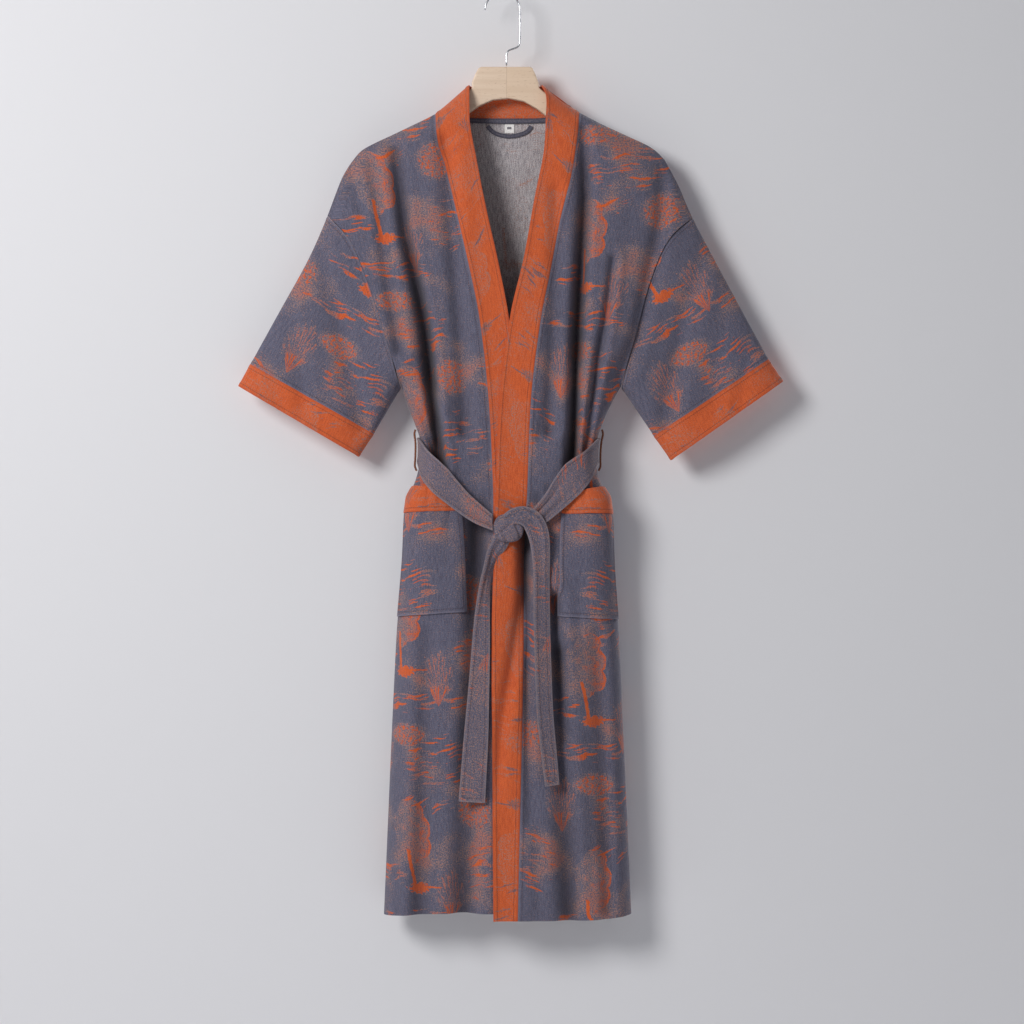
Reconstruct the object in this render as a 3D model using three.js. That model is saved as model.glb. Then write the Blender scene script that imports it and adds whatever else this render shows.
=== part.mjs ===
// A cotton yukata robe hanging on a wooden hanger, with its belt tied in front.
// Millimetres, +Z up. The front of the robe faces -Y. Left and right are the wearer's:
// the wearer's right is at -X. The origin is the top of the inside of the hook.
//
// Every cloth piece is a patch of one garment surface. A patch is a grid of points in
// the X-Z plane, lifted in Y to the front or back of the garment, then given a wall.

import * as THREE from 'three';

// ---- cloth ----
const CLOTH = 1.6;          // wall of one layer
const DOUBLE = 2.4;         // wall of the doubled bands, cuffs and belt
const SEAM = 0.4;           // gap between two pieces that are sewn together
const LAP = 3.6;            // step out from the under front to the over front
const PATCH = 2.5;          // from a panel's middle to the middle of a pocket on it
const BELT_OUT = 3.6;       // from a panel's middle to the middle of the belt at the side

// ---- outlines, as [x, z] ----
const ARMPIT_Z = -571;
const RIGHT = {
  ridge: [[-48, -134], [-63, -147], [-80, -162], [-97, -176]],
  shoulder: [[-97, -176], [-114, -185], [-158, -206], [-184, -218], [-204, -229], [-216, -242],
    [-227, -258], [-236, -276], [-254, -324]],
  sleeveTop: [[-254, -324], [-282, -387], [-325, -465], [-367, -541]],
  sleeveUnder: [[-147, ARMPIT_Z], [-168, -607], [-189, -642]],
  cuffEnd: [[-384, -572], [-210, -674]],
  armhole: [[-254, -324], [-222, -360], [-196, -420], [-170, -500], [-147, ARMPIT_Z]],
  side: [[-147, ARMPIT_Z], [-136, -604], [-127, -627], [-120, -647], [-119, -668], [-121, -690],
    [-128, -714], [-139, -737], [-145, -827], [-154, -940], [-172, -1340]],
  seam: [[-97, -176], [-94, -219], [-82, -256], [-64, -328], [-48, -400], [-33, -476], [-20, -592],
    [-13, -737], [-10, -940], [-9, -1340]],
  free: [[-48, -134], [-48, -165], [-47, -195], [-38, -244], [-24, -315], [-5, -400], [9, -475],
    [22, -592], [30, -737], [33, -940], [34, -1340]],
  hem: [-1340, -1334],
};
const LEFT = {
  ridge: [[57, -134], [69, -144], [87, -158], [111, -174]],
  shoulder: [[111, -174], [143, -191], [180, -208], [214, -224], [232, -239], [242, -254],
    [256, -281], [267, -307], [276, -327]],
  sleeveTop: [[276, -327], [303, -378], [345, -456], [387, -534]],
  sleeveUnder: [[172, ARMPIT_Z], [197, -608], [222, -645]],
  cuffEnd: [[408, -565], [246, -679]],
  armhole: [[276, -327], [240, -362], [214, -422], [192, -500], [172, ARMPIT_Z]],
  side: [[172, ARMPIT_Z], [153, -607], [143, -632], [137, -650], [135, -670], [136, -690],
    [143, -714], [156, -737], [162, -836], [169, -940], [187, -1340]],
  seam: [[111, -174], [108, -210], [99, -268], [82, -340], [65, -424], [55, -476], [41, -592],
    [35, -737], [30, -824], [30, -940], [22, -1342]],
  free: [[57, -134], [63, -150], [63, -179], [60, -234], [46, -304], [31, -388], [12, -469],
    [-4, -592], [-10, -737], [-12, -824], [-15, -940], [-13, -1342]],
  hem: [-1339, -1344],
};
const BACK_NECK = [[-97, -176], [-84, -180], [-63, -183], [-34, -184.5], [7, -185], [48, -184],
  [77, -182], [98, -179], [111, -174]];
const BACK_BAND_TOP = [[-48, -134], [-30, -139], [5, -141], [38, -139], [57, -134]];
const BACK_HEM = -1336;

// ---- depth of the garment ----
const SLEEVE_DEPTH = 22;                    // from the middle plane to one face
const BODY_DEPTH = [[26, -134], [28, -200], [32, -300], [36, -450], [38, -600], [36, -668],
  [40, -760], [44, -1000], [46, -1340]];
const BACK_SHARE = 0.8;                     // the back stands out less than the front
const MIDDLE_X = 8;
const BODY_REACH = [130, 235];              // body depth fades to sleeve depth over this
const TOP_ROUND = 40;                       // reach of the rounding under a shoulder
const SIDE_ROUND = 44;                      // reach of the rounding at a side seam
const SLEEVE_ROUND = 66;

// ---- folds: a soft trough along a line ----
const FRONT_FOLDS = [
  { line: [[-141, -350], [-126, -430], [-110, -491], [-105, -560], [-93, -640]], width: 15, depth: 9 },
  { line: [[106, -430], [108, -500], [104, -580], [98, -650]], width: 14, depth: 9 },
  { line: [[232, -262], [229, -330], [211, -420], [194, -500]], width: 17, depth: 7 },
  { line: [[144, -470], [141, -537], [130, -600], [121, -640]], width: 12, depth: 6 },
  { line: [[-222, -262], [-214, -290], [-202, -330]], width: 14, depth: 4 },
  { line: [[-40, -790], [-44, -930], [-60, -1120], [-66, -1330]], width: 24, depth: 6 },
  { line: [[-112, -950], [-122, -1330]], width: 22, depth: 5 },
  { line: [[78, -930], [84, -1120], [96, -1335]], width: 24, depth: 6 },
  { line: [[142, -950], [150, -1330]], width: 18, depth: 4 },
];
const BACK_FOLDS = [
  { line: [[-104, -420], [-96, -560], [-84, -650]], width: 18, depth: 7 },
  { line: [[112, -420], [106, -560], [96, -650]], width: 18, depth: 7 },
  { line: [[-60, -730], [-70, -1000], [-84, -1325]], width: 24, depth: 6 },
  { line: [[20, -730], [18, -1000], [14, -1325]], width: 26, depth: 5 },
  { line: [[96, -730], [106, -1000], [118, -1325]], width: 24, depth: 6 },
];

// ---- pockets, belt, loops ----
const POCKET_BAND = 35;                     // height of the band along a pocket's top
const POCKET_GAPE = 9;                      // how far a pocket's mouth stands open
const POCKET_LEAN = 0.75;                   // under 1, it opens more towards the side seam
const POCKET_RIGHT = { side: RIGHT, top: [-722, -718], foot: [-907, -899],
  inner: [[-63, -718], [-57, -800], [-53, -899]] };
const POCKET_LEFT = { side: LEFT, top: [-723, -723], foot: [-911, -905],
  inner: [[88, -723], [83, -780], [82, -905]] };
const BELT_WIDTH = 38;
const BELT_PROUD = 12.2;                    // as BELT_OUT, where it bridges the pockets
const WAIST_Z = -665;                       // middle of the belt at the sides and back
const BELT_RIGHT = {
  side: RIGHT,
  topEdge: [[0, -646], [0.14, -662], [0.55, -711], [1, -761]],
  footEdge: [[0, -684], [0.085, -700], [0.3, -727], [0.55, -751], [0.77, -770], [1, -783]],
  columns: [0, 0.012, 0.05, 0.11, 0.19, 0.29, 0.41, 0.54, 0.68, 0.84, 0.985],
};
const BELT_LEFT = {
  side: LEFT,
  topEdge: [[0, -646], [0.19, -664], [0.52, -694], [0.92, -752]],
  footEdge: [[0, -684], [0.21, -713], [0.37, -730], [0.72, -766], [0.92, -785]],
  columns: [0, 0.012, 0.05, 0.11, 0.19, 0.29, 0.41, 0.54, 0.68, 0.84, 0.92],
};
const LOOP_WIRE = 3;
const LOOP_PATH = [[3, 30], [7, 23], [7.7, 12], [7.7, -12], [7, -23], [3, -30]];
const KNOT = { x: 9, z: -777, width: 40, height: 48, depth: 20, proud: 12.5 };
const END_RIGHT = [
  [-796, -15, 6, 3.6, 0], [-812, -21, -3, 6, 3], [-833, -28, -18, 9, 7], [-856, -33, -18, 8, 5],
  [-894, -39, -18, 6, 2], [-940, -43, -17, 5, 0], [-1000, -48, -18, 5, 0], [-1060, -53, -20, 5, 0],
  [-1120, -58, -23, 5, 0], [-1171, -62, -25, 5, 0, 6],
];
const END_LEFT = [
  [-752, 32, 63, 16, 0], [-770, 34, 66, 16.5, 0], [-790, 39, 68, 16, 0], [-815, 44, 68, 11, 1],
  [-845, 45, 68, 7, 3], [-911, 45, 68, 7, 4], [-980, 47, 70, 7, 4], [-1050, 50, 73, 7, 4],
  [-1100, 56, 77, 7, 4], [-1148, 62, 81, 7, 4],
];

// ---- inside the back neck ----
const TAPE = { rows: [[-62, -183, -190], [-34, -184, -191], [7, -184, -192], [48, -184, -191],
  [76, -182, -190]], inset: 2.3, thickness: 1 };
const NECK_LOOP = { line: [[-22, -195], [-15, -203], [-4, -208], [10, -210], [24, -208], [36, -203],
  [42, -195]], width: 6, inset: 2.6, thickness: 1.2 };
const LABEL = { rows: [[3, -192.5, -205], [17, -192.5, -205]], inset: 1.6, thickness: 0.6 };

// ---- hanger and hook ----
const BOARD = 12;                           // thickness of the hanger
const BOARD_BEVEL = 2;
const BOARD_DROP = 5;                       // from the shoulder line down to the hanger
const TIP_DROP = 8;                        // and at its tips
const BOARD_X = 6;
const ARM_REACH = 222;                      // from the middle of the board to a tip
const BOARD_SHOULDERS = [[-45, -130], [-40, -118], [-35, -109], [-31, -107], [40, -107],
  [44, -109], [49, -120], [53, -131]];
const BOARD_UNDERSIDE = [[229, -262], [190, -252], [150, -236], [105, -211], [63, -178], [35, -159],
  [6, -153], [-22, -158], [-47, -173], [-95, -207], [-140, -234], [-178, -252], [-212, -262]];
const WIRE = 3;
const HOOK_RADIUS = 24;                     // inside of the hook
const HOOK_STEM = [[25.5, -50], [25.2, -70], [23, -77], [15, -80.5], [8, -83], [6, -89], [6, -106.6]];

// ---- grid lines ----
// Across a panel from its side to its middle, and down the armhole: close together
// where the cloth turns round an edge.
const ACROSS = [0, 0.012, 0.05, 0.11, 0.19, 0.29, 0.41, 0.54, 0.68, 0.84, 1];
const NECK_FROM = 0.33;                     // where the back neck starts, across the back
const BACK_ACROSS = [0, 0.006, 0.026, 0.06, 0.105, 0.17, 0.25, NECK_FROM, 0.35, 0.385, 0.43, 0.5];
const DOWN_ARMHOLE = [0, 0.006, 0.022, 0.05, 0.095, 0.17, 0.27, 0.39, 0.52, 0.66, 0.79, 0.9, 0.97, 1];
const DOWN_BODY = [-592, -614, -634, -652, -678, -704, -735, -780, -850, -940, -1040, -1145, -1245];
const RIDGE_SHARE = 0.975;                  // of the ridge is covered by the collar band
const RIDGE_GAP = 1.6;                      // between band and back panel at the ridge
const SLEEVE_START = 0.004;                 // the sleeve starts this share off the armhole
const ARMPIT_GAP = 0.036;                   // and a little more in the corner of the armpit
const ACROSS_BAND = [0, 0.33, 0.67, 1];
const FULL_ACROSS = [...BACK_ACROSS, ...BACK_ACROSS.slice(0, -1).reverse().map((s) => 1 - s)];

// =====================================================================
// Small maths
// =====================================================================

const mix = (a, b, t) => a + (b - a) * t;
const clamp = (t) => Math.min(Math.max(t, 0), 1);

function smooth(from, to, value) {
  const t = clamp((value - from) / (to - from));
  return t * t * (3 - 2 * t);
}

// A smooth curve through [x, z] points; the result gives the point at a share of its length.
function curve(points) {
  const spline = new THREE.SplineCurve(points.map((p) => new THREE.Vector2(p[0], p[1])));
  return (share) => {
    const p = spline.getPointAt(clamp(share));
    return [p.x, p.y];
  };
}

// The same kind of curve read as x at a given z, for edges that run down the garment.
function edge(points) {
  const slopes = points.map((p, i) => {
    const before = points[Math.max(i - 1, 0)];
    const after = points[Math.min(i + 1, points.length - 1)];
    return (after[0] - before[0]) / (after[1] - before[1]);
  });
  return (z) => {
    let i = 0;
    while (i < points.length - 2 && z < points[i + 1][1]) i += 1;
    const [a, b] = [points[i], points[i + 1]];
    const span = b[1] - a[1];
    const t = (z - a[1]) / span;
    if (t < 0) return a[0] + slopes[i] * (z - a[1]);
    if (t > 1) return b[0] + slopes[i + 1] * (z - b[1]);
    const t2 = t * t;
    const t3 = t2 * t;
    return (2 * t3 - 3 * t2 + 1) * a[0] + (t3 - 2 * t2 + t) * span * slopes[i]
      + (3 * t2 - 2 * t3) * b[0] + (t3 - t2) * span * slopes[i + 1];
  };
}

function sampled(points, count) {
  const at = curve(points);
  return Array.from({ length: count + 1 }, (_, i) => at(i / count));
}

function distance(line, x, z) {
  let best = Infinity;
  for (let i = 0; i < line.length - 1; i += 1) {
    const [ax, az] = line[i];
    const [dx, dz] = [line[i + 1][0] - ax, line[i + 1][1] - az];
    const square = dx * dx + dz * dz;
    const t = square > 0 ? clamp(((x - ax) * dx + (z - az) * dz) / square) : 0;
    best = Math.min(best, Math.hypot(x - ax - t * dx, z - az - t * dz));
  }
  return best;
}

// =====================================================================
// The garment surface
// =====================================================================

for (const side of [RIGHT, LEFT]) {
  side.sideAt = edge(side.side);
  side.seamAt = edge(side.seam);
  side.freeAt = edge(side.free);
  side.topLine = [...sampled(side.ridge, 12), ...sampled(side.shoulder, 40),
    ...sampled([...side.sleeveTop, side.cuffEnd[0]], 50)];
  side.sideLine = [...sampled([...side.sleeveUnder, side.cuffEnd[1]], 16).reverse(),
    ...Array.from({ length: 80 }, (_, i) => {
      const z = mix(ARMPIT_Z, BACK_HEM - 20, i / 79);
      return [side.sideAt(z), z];
    })];
}
const bodyDepthAt = edge(BODY_DEPTH);

// A quarter ellipse: 0 at an edge, 1 from the reach inwards.
function rounding(gap, reach) {
  const t = 1 - clamp(gap / reach);
  return Math.sqrt(1 - t * t);
}

function foldDepth(folds, x, z) {
  let sum = 0;
  for (const fold of folds) {
    const away = distance(fold.line, x, z) / fold.width;
    sum += fold.depth * Math.exp(-away * away);
  }
  return sum;
}

// Y of the middle of the cloth, for the front (face = -1) or the back (face = 1).
function lift(face, x, z, lap = 0) {
  const across = Math.abs(x - MIDDLE_X);
  const inBody = 1 - smooth(BODY_REACH[0], BODY_REACH[1], across);
  const body = bodyDepthAt(z) * (face > 0 ? BACK_SHARE : 1);
  const depth = mix(SLEEVE_DEPTH, body, inBody) + lap;
  const folds = foldDepth(face > 0 ? BACK_FOLDS : FRONT_FOLDS, x, z);
  const topGap = Math.min(distance(RIGHT.topLine, x, z), distance(LEFT.topLine, x, z));
  const sideGap = Math.min(distance(RIGHT.sideLine, x, z), distance(LEFT.sideLine, x, z));
  const edges = rounding(topGap, mix(SLEEVE_ROUND, TOP_ROUND, inBody))
    * rounding(sideGap, mix(SLEEVE_ROUND, SIDE_ROUND, inBody));
  return face * (depth - folds) * edges;
}

const onSurface = (face, [x, z], lap) => new THREE.Vector3(x, lift(face, x, z, lap), z);
const onEdge = (face, [x, z]) => new THREE.Vector3(x, face * SEAM / 2, z);

// =====================================================================
// Walls from grids
// =====================================================================

// The normal at each grid point. A row or column that lies on the middle plane is a side
// seam or shoulder: there the cloth's mirror image stands in for the missing neighbour.
function gridNormals(grid, ring) {
  const rows = grid.length;
  const cols = grid[0].length;
  const mirrored = (p) => new THREE.Vector3(p.x, -p.y, p.z);
  const onMiddle = (p) => Math.abs(p.y) <= SEAM;
  const pick = (i, j, di, dj) => {
    const a = i + di;
    const b = ring ? (j + dj + cols) % cols : j + dj;
    if (a >= 0 && a < rows && b >= 0 && b < cols) return grid[a][b];
    const inside = grid[i - di]?.[j - dj];
    return inside && onMiddle(grid[i][j]) && !onMiddle(inside) ? mirrored(inside) : grid[i][j];
  };
  const normals = grid.map((row, i) => row.map((_, j) => {
    const down = pick(i, j, 1, 0).clone().sub(pick(i, j, -1, 0));
    const over = pick(i, j, 0, 1).clone().sub(pick(i, j, 0, -1));
    return down.cross(over).normalize();
  }));
  let outward = 0;
  grid.forEach((row, i) => row.forEach((p, j) => {
    outward += normals[i][j].dot(new THREE.Vector3(p.x - MIDDLE_X, p.y, 0));
  }));
  if (outward < 0) normals.flat().forEach((n) => n.negate());
  return normals;
}

function signedVolume(points, faces) {
  let sum = 0;
  for (const [a, b, c] of faces) {
    sum += points[a].dot(points[b].clone().cross(points[c]));
  }
  return sum / 6;
}

// A closed solid from a grid of middle points and a wall. A ring's columns join up.
function wall(grid, thickness, ring = false) {
  const rows = grid.length;
  const cols = grid[0].length;
  const normals = gridNormals(grid, ring);
  const points = [];
  for (const half of [thickness / 2, -thickness / 2]) {
    grid.forEach((row, i) => row.forEach((p, j) => {
      points.push(p.clone().addScaledVector(normals[i][j], half));
    }));
  }
  const at = (layer, i, j) => layer * rows * cols + i * cols + (j % cols);
  const faces = [];
  const quad = (a, b, c, d) => faces.push([a, b, c], [a, c, d]);
  const lastCol = ring ? cols : cols - 1;
  for (let i = 0; i < rows - 1; i += 1) {
    for (let j = 0; j < lastCol; j += 1) {
      quad(at(0, i, j), at(0, i + 1, j), at(0, i + 1, j + 1), at(0, i, j + 1));
      quad(at(1, i, j), at(1, i, j + 1), at(1, i + 1, j + 1), at(1, i + 1, j));
    }
  }
  for (let j = 0; j < lastCol; j += 1) {
    quad(at(0, 0, j), at(0, 0, j + 1), at(1, 0, j + 1), at(1, 0, j));
    quad(at(0, rows - 1, j), at(1, rows - 1, j), at(1, rows - 1, j + 1), at(0, rows - 1, j + 1));
  }
  for (let i = 0; i < rows - 1 && !ring; i += 1) {
    quad(at(0, i, 0), at(1, i, 0), at(1, i + 1, 0), at(0, i + 1, 0));
    quad(at(0, i, cols - 1), at(0, i + 1, cols - 1), at(1, i + 1, cols - 1), at(1, i, cols - 1));
  }
  if (signedVolume(points, faces) < 0) faces.forEach((face) => face.reverse());
  const geometry = new THREE.BufferGeometry();
  geometry.setFromPoints(points);
  geometry.setIndex(faces.flat());
  geometry.computeVertexNormals();
  return geometry;
}

// =====================================================================
// Pieces: grids in X-Z, row by row
// =====================================================================

// A patch between four curves, given as functions of a share along each.
function between(top, foot, start, end) {
  const corners = [top(0), top(1), foot(0), foot(1)];
  return (s, t) => [0, 1].map((k) => (1 - t) * top(s)[k] + t * foot(s)[k]
    + (1 - s) * start(t)[k] + s * end(t)[k]
    - (1 - s) * (1 - t) * corners[0][k] - s * (1 - t) * corners[1][k]
    - (1 - s) * t * corners[2][k] - s * t * corners[3][k]);
}

// A front panel runs from the armhole and side seam to the seam of the collar band.
function frontGrid(side, lap) {
  const inward = Math.sign(MIDDLE_X - side.side[0][0]);
  const shoulder = curve(side.shoulder);
  const armhole = curve(side.armhole);
  const seamX = (z) => side.seamAt(z) - inward * SEAM / 2;
  const seamTop = side.shoulder[0][1];
  const yoke = between(
    (s) => shoulder(1 - s),
    (s) => [mix(side.sideAt(ARMPIT_Z), seamX(ARMPIT_Z), s), ARMPIT_Z],
    armhole,
    (t) => {
      const z = mix(seamTop, ARMPIT_Z, t);
      return [seamX(z), z];
    },
  );
  const grid = DOWN_ARMHOLE.map((t, row) => ACROSS.map((s) => {
    const p = yoke(s, t);
    if (row === 0 || (t === 1 && s === 0)) return onEdge(-1, p);
    return onSurface(-1, p, lap);
  }));
  for (const level of [...DOWN_BODY, null]) {
    grid.push(ACROSS.map((s) => {
      const z = level ?? mix(side.hem[0], side.hem[1], Math.min(s * 2, 1));
      const p = [mix(side.sideAt(z), seamX(z), s), z];
      return s === 0 ? onEdge(-1, p) : onSurface(-1, p, lap);
    }));
  }
  return grid;
}

// The back neck seam: straight runs between the back panel's grid lines.
function backNeck(share) {
  const place = clamp(share) * (BACK_NECK.length - 1);
  const i = Math.min(Math.floor(place), BACK_NECK.length - 2);
  return [0, 1].map((k) => mix(BACK_NECK[i][k], BACK_NECK[i + 1][k], place - i));
}

// The back is one panel from side to side, up to both shoulders and the back neck.
function backGrid() {
  const across = FULL_ACROSS;
  const firstNeck = across.indexOf(NECK_FROM);
  const rightTop = curve(RIGHT.shoulder);
  const leftTop = curve(LEFT.shoulder);
  const top = (s) => {
    if (s <= NECK_FROM) return rightTop(1 - s / NECK_FROM);
    if (s >= 1 - NECK_FROM) return leftTop((s - 1 + NECK_FROM) / NECK_FROM);
    const [x, z] = backNeck((across.indexOf(s) - firstNeck) / (BACK_NECK.length - 1));
    return [x, z - SEAM / 2];
  };
  const yoke = between(
    top,
    (s) => [mix(RIGHT.sideAt(ARMPIT_Z), LEFT.sideAt(ARMPIT_Z), s), ARMPIT_Z],
    curve(RIGHT.armhole),
    curve(LEFT.armhole),
  );
  const onShoulder = (s) => s <= NECK_FROM || s >= 1 - NECK_FROM;
  const grid = DOWN_ARMHOLE.map((t, row) => across.map((s) => {
    const p = yoke(s, t);
    const atSide = t === 1 && (s === 0 || s === 1);
    return (row === 0 && onShoulder(s)) || atSide ? onEdge(1, p) : onSurface(1, p);
  }));
  for (const z of [...DOWN_BODY, BACK_HEM]) {
    grid.push(across.map((s) => {
      const p = [mix(RIGHT.sideAt(z), LEFT.sideAt(z), s), z];
      return s === 0 || s === 1 ? onEdge(1, p) : onSurface(1, p);
    }));
  }
  return grid;
}

// A panel's grid, kept with its normals for what lies on it.
function skin(grid, across) {
  return { grid, across, normals: gridNormals(grid, false) };
}

// A point lying on a panel below the armpits, moved out from its middle by a distance.
function lyingOn({ grid, across, normals }, share, z, out) {
  const levels = [ARMPIT_Z, ...DOWN_BODY];
  const down = Math.max(levels.findIndex((level) => z > level), 1) - 1;
  const over = Math.max(across.findIndex((s) => share <= s), 1) - 1;
  const row = down + DOWN_ARMHOLE.length - 1;
  const t = (levels[down] - z) / (levels[down] - levels[down + 1]);
  const s = (share - across[over]) / (across[over + 1] - across[over]);
  const blend = (from) => from[row][over].clone().lerp(from[row][over + 1], s)
    .lerp(from[row + 1][over].clone().lerp(from[row + 1][over + 1], s), t);
  return blend(grid).addScaledVector(blend(normals).normalize(), out);
}

// A tube ring: down the front from the top edge to the under edge, and up the back.
function ringAt(pointAt) {
  const last = DOWN_ARMHOLE.length - 1;
  const front = DOWN_ARMHOLE.map((w, i) => {
    const p = pointAt(w);
    return i === 0 || i === last ? new THREE.Vector3(p[0], 0, p[1]) : onSurface(-1, p);
  });
  const back = DOWN_ARMHOLE.slice(1, -1).reverse().map((w) => onSurface(1, pointAt(w)));
  return [...front, ...back];
}

function sleeve(side) {
  const cuffTop = side.sleeveTop.at(-1);
  const cuffUnder = side.sleeveUnder.at(-1);
  const cuffSeam = (w) => [mix(cuffTop[0], cuffUnder[0], w), mix(cuffTop[1], cuffUnder[1], w)];
  const patch = between(curve(side.armhole), cuffSeam, curve(side.sleeveTop), curve(side.sleeveUnder));
  const shares = [SLEEVE_START, 0.2, 0.4, 0.6, 0.8, 0.998];
  const armpitGap = (w, u) => (u === SLEEVE_START ? ARMPIT_GAP * smooth(0.8, 1, w) : 0);
  return wall(shares.map((u) => ringAt((w) => patch(w, u + armpitGap(w, u)))), CLOTH, true);
}

function cuff(side) {
  const starts = [side.sleeveTop.at(-1), side.sleeveUnder.at(-1)];
  const rings = [0.008, 0.5, 1].map((u) => ringAt((w) => {
    const along = starts.map((from, k) => from.map((value, n) => mix(value, side.cuffEnd[k][n], u)));
    return [mix(along[0][0], along[1][0], w), mix(along[0][1], along[1][1], w)];
  }));
  return wall(rings, DOUBLE, true);
}

// The collar band is one strip: up the under front, round the back neck, down the over front.
function collarBand() {
  const rowOf = (face, seamPoint, freePoint, lap) => ACROSS_BAND.map((s) => onSurface(face, [
    mix(seamPoint[0], freePoint[0], s), mix(seamPoint[1], freePoint[1], s)], lap));
  const frontRows = (side, lap) => {
    const inward = Math.sign(MIDDLE_X - side.side[0][0]);
    const top = side.seam[0][1];
    const foot = side.hem[1];
    const levels = [...DOWN_ARMHOLE.slice(1).map((t) => mix(top, ARMPIT_Z, t)), ...DOWN_BODY, foot];
    return levels.map((z) => {
      const freeZ = mix(side.free[0][1], foot, (top - z) / (top - foot));
      return rowOf(-1, [side.seamAt(z) + inward * SEAM / 2, z], [side.freeAt(freeZ), freeZ], lap);
    });
  };
  const ridgeRow = (side) => {
    const ridge = curve(side.ridge);
    return ACROSS_BAND.map((s) => {
      const [x, z] = ridge(RIDGE_SHARE * (1 - s));
      return new THREE.Vector3(x, 0, z);
    });
  };
  const top = curve(BACK_BAND_TOP);
  const knots = BACK_NECK.length - 1;
  const shares = [0.15, 0.5, ...Array.from({ length: knots - 1 }, (_, i) => i + 1),
    knots - 0.5, knots - 0.15].map((s) => s / knots);
  const backRow = (share) => {
    const [x, z] = backNeck(share);
    const lean = (smooth(0.2, 0, share) - smooth(0.8, 1, share)) * RIDGE_GAP;
    return rowOf(1, [x + lean, z + SEAM], top(share), 0);
  };
  return wall([
    ...frontRows(RIGHT, 0).reverse(),
    ridgeRow(RIGHT),
    ...shares.map(backRow),
    ridgeRow(LEFT),
    ...frontRows(LEFT, LAP),
  ], DOUBLE);
}

// A pocket lies on its front panel, on the panel's own grid lines, with its mouth open.
// from and to are heights on the pocket: 0 at its mouth, 1 at its foot.
function pocketPiece(pocket, panel, from, to, rows, thickness) {
  const { side, top, foot, inner } = pocket;
  const innerAt = edge(inner);
  const columns = ACROSS.slice(1, 9);
  const last = columns.length - 1;
  const grid = Array.from({ length: rows }, (_, i) => columns.map((column, j) => {
    const level = mix(from, to, i / (rows - 1));
    const z = mix(mix(top[0], top[1], j / last), mix(foot[0], foot[1], j / last), level);
    const share = j === last ? (innerAt(z) - side.sideAt(z)) / (side.seamAt(z) - side.sideAt(z)) : column;
    const across = (j / last) ** POCKET_LEAN;
    const gape = POCKET_GAPE * Math.sin(Math.PI * across) ** 2 * (1 - smooth(0, 0.8, level));
    return lyingOn(panel, share, z, PATCH + gape + (thickness - CLOTH) / 2);
  }));
  return wall(grid, thickness);
}

function pocketHeight(pocket) {
  return pocket.top[0] - pocket.foot[0];
}

// The belt passes round the waist in one length, from the knot and back to the knot.
function beltWaist(underSkin, overSkin, backSkin) {
  const shares = [0, 0.5, 1];
  const front = ({ topEdge, footEdge, columns }, panel, lap) => {
    const topAt = edge(topEdge.map(([s, z]) => [z, -s]));
    const footAt = edge(footEdge.map(([s, z]) => [z, -s]));
    return columns.map((s) => shares.map((t) => {
      const out = mix(BELT_OUT, BELT_PROUD + lap, smooth(0, 0.25, s));
      return lyingOn(panel, s, mix(topAt(-s), footAt(-s), t), out);
    }));
  };
  const half = BELT_WIDTH / 2;
  const back = FULL_ACROSS.slice(1, -1).map((s) => shares.map((t) => (
    lyingOn(backSkin, s, mix(WAIST_Z + half, WAIST_Z - half, t), BELT_OUT))));
  return wall([
    ...front(BELT_RIGHT, underSkin, LAP).reverse(),
    ...back,
    ...front(BELT_LEFT, overSkin, 0),
  ], DOUBLE);
}

// A belt end hangs from the knot. Each station is [z, x of one edge, x of the other,
// how far the middle stands off the front, how far each edge is turned in y].
function beltEnd(stations) {
  const grid = stations.map(([z, from, to, out, turn, slant = 0]) => [0, 0.5, 1].map((t) => {
    const p = [mix(from, to, t), z - slant * t];
    const y = lift(-1, p[0], p[1], LAP) - out + turn * (1 - 2 * t);
    return new THREE.Vector3(p[0], y, p[1]);
  }));
  return wall(grid, DOUBLE);
}

function knot() {
  const geometry = new THREE.SphereGeometry(0.5, 14, 10);
  geometry.scale(KNOT.width, KNOT.depth, KNOT.height);
  const y = lift(-1, KNOT.x, KNOT.z, LAP) - KNOT.proud;
  geometry.translate(KNOT.x, y, KNOT.z);
  return geometry;
}

// A round wire along a path, closed at both ends.
function wire(points, thickness, steps, sides) {
  const path = new THREE.CatmullRomCurve3(points, false, 'centripetal');
  const corners = Array.from({ length: sides }, (_, i) => {
    const turn = (2 * Math.PI * i) / sides;
    return new THREE.Vector2(Math.cos(turn) * thickness / 2, Math.sin(turn) * thickness / 2);
  });
  return new THREE.ExtrudeGeometry(new THREE.Shape(corners), { extrudePath: path, steps });
}

// A thread loop at a side seam, outside the belt that it holds.
function beltLoop(side) {
  const outward = Math.sign(side.side[0][0] - MIDDLE_X);
  const points = LOOP_PATH.map(([out, rise]) => {
    const z = WAIST_Z + rise;
    return new THREE.Vector3(side.sideAt(z) + outward * out, 0, z);
  });
  return wire(points, LOOP_WIRE, 10, 6);
}

// A small strip inside the back neck. Its rows are [x, top z, foot z].
function neckStrip(rows, inset, thickness) {
  const inside = (p) => onSurface(1, p).add(new THREE.Vector3(0, -inset, 0));
  return wall(rows.map(([x, top, foot]) => [inside([x, top]), inside([x, foot])]), thickness);
}

// A strap that keeps its width along a line of [x, z] points, inside the back neck.
function neckLoop(points, width, inset, thickness) {
  const at = curve(points);
  const steps = 12;
  const grid = Array.from({ length: steps + 1 }, (_, i) => {
    const share = i / steps;
    const [ax, az] = at(share - 0.02);
    const [bx, bz] = at(share + 0.02);
    const span = Math.hypot(bx - ax, bz - az);
    const [nx, nz] = [-(bz - az) / span, (bx - ax) / span];
    const [x, z] = at(share);
    return [0.5, -0.5].map((k) => onSurface(1, [x + nx * width * k, z + nz * width * k])
      .add(new THREE.Vector3(0, -inset, 0)));
  });
  return wall(grid, thickness);
}

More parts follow.
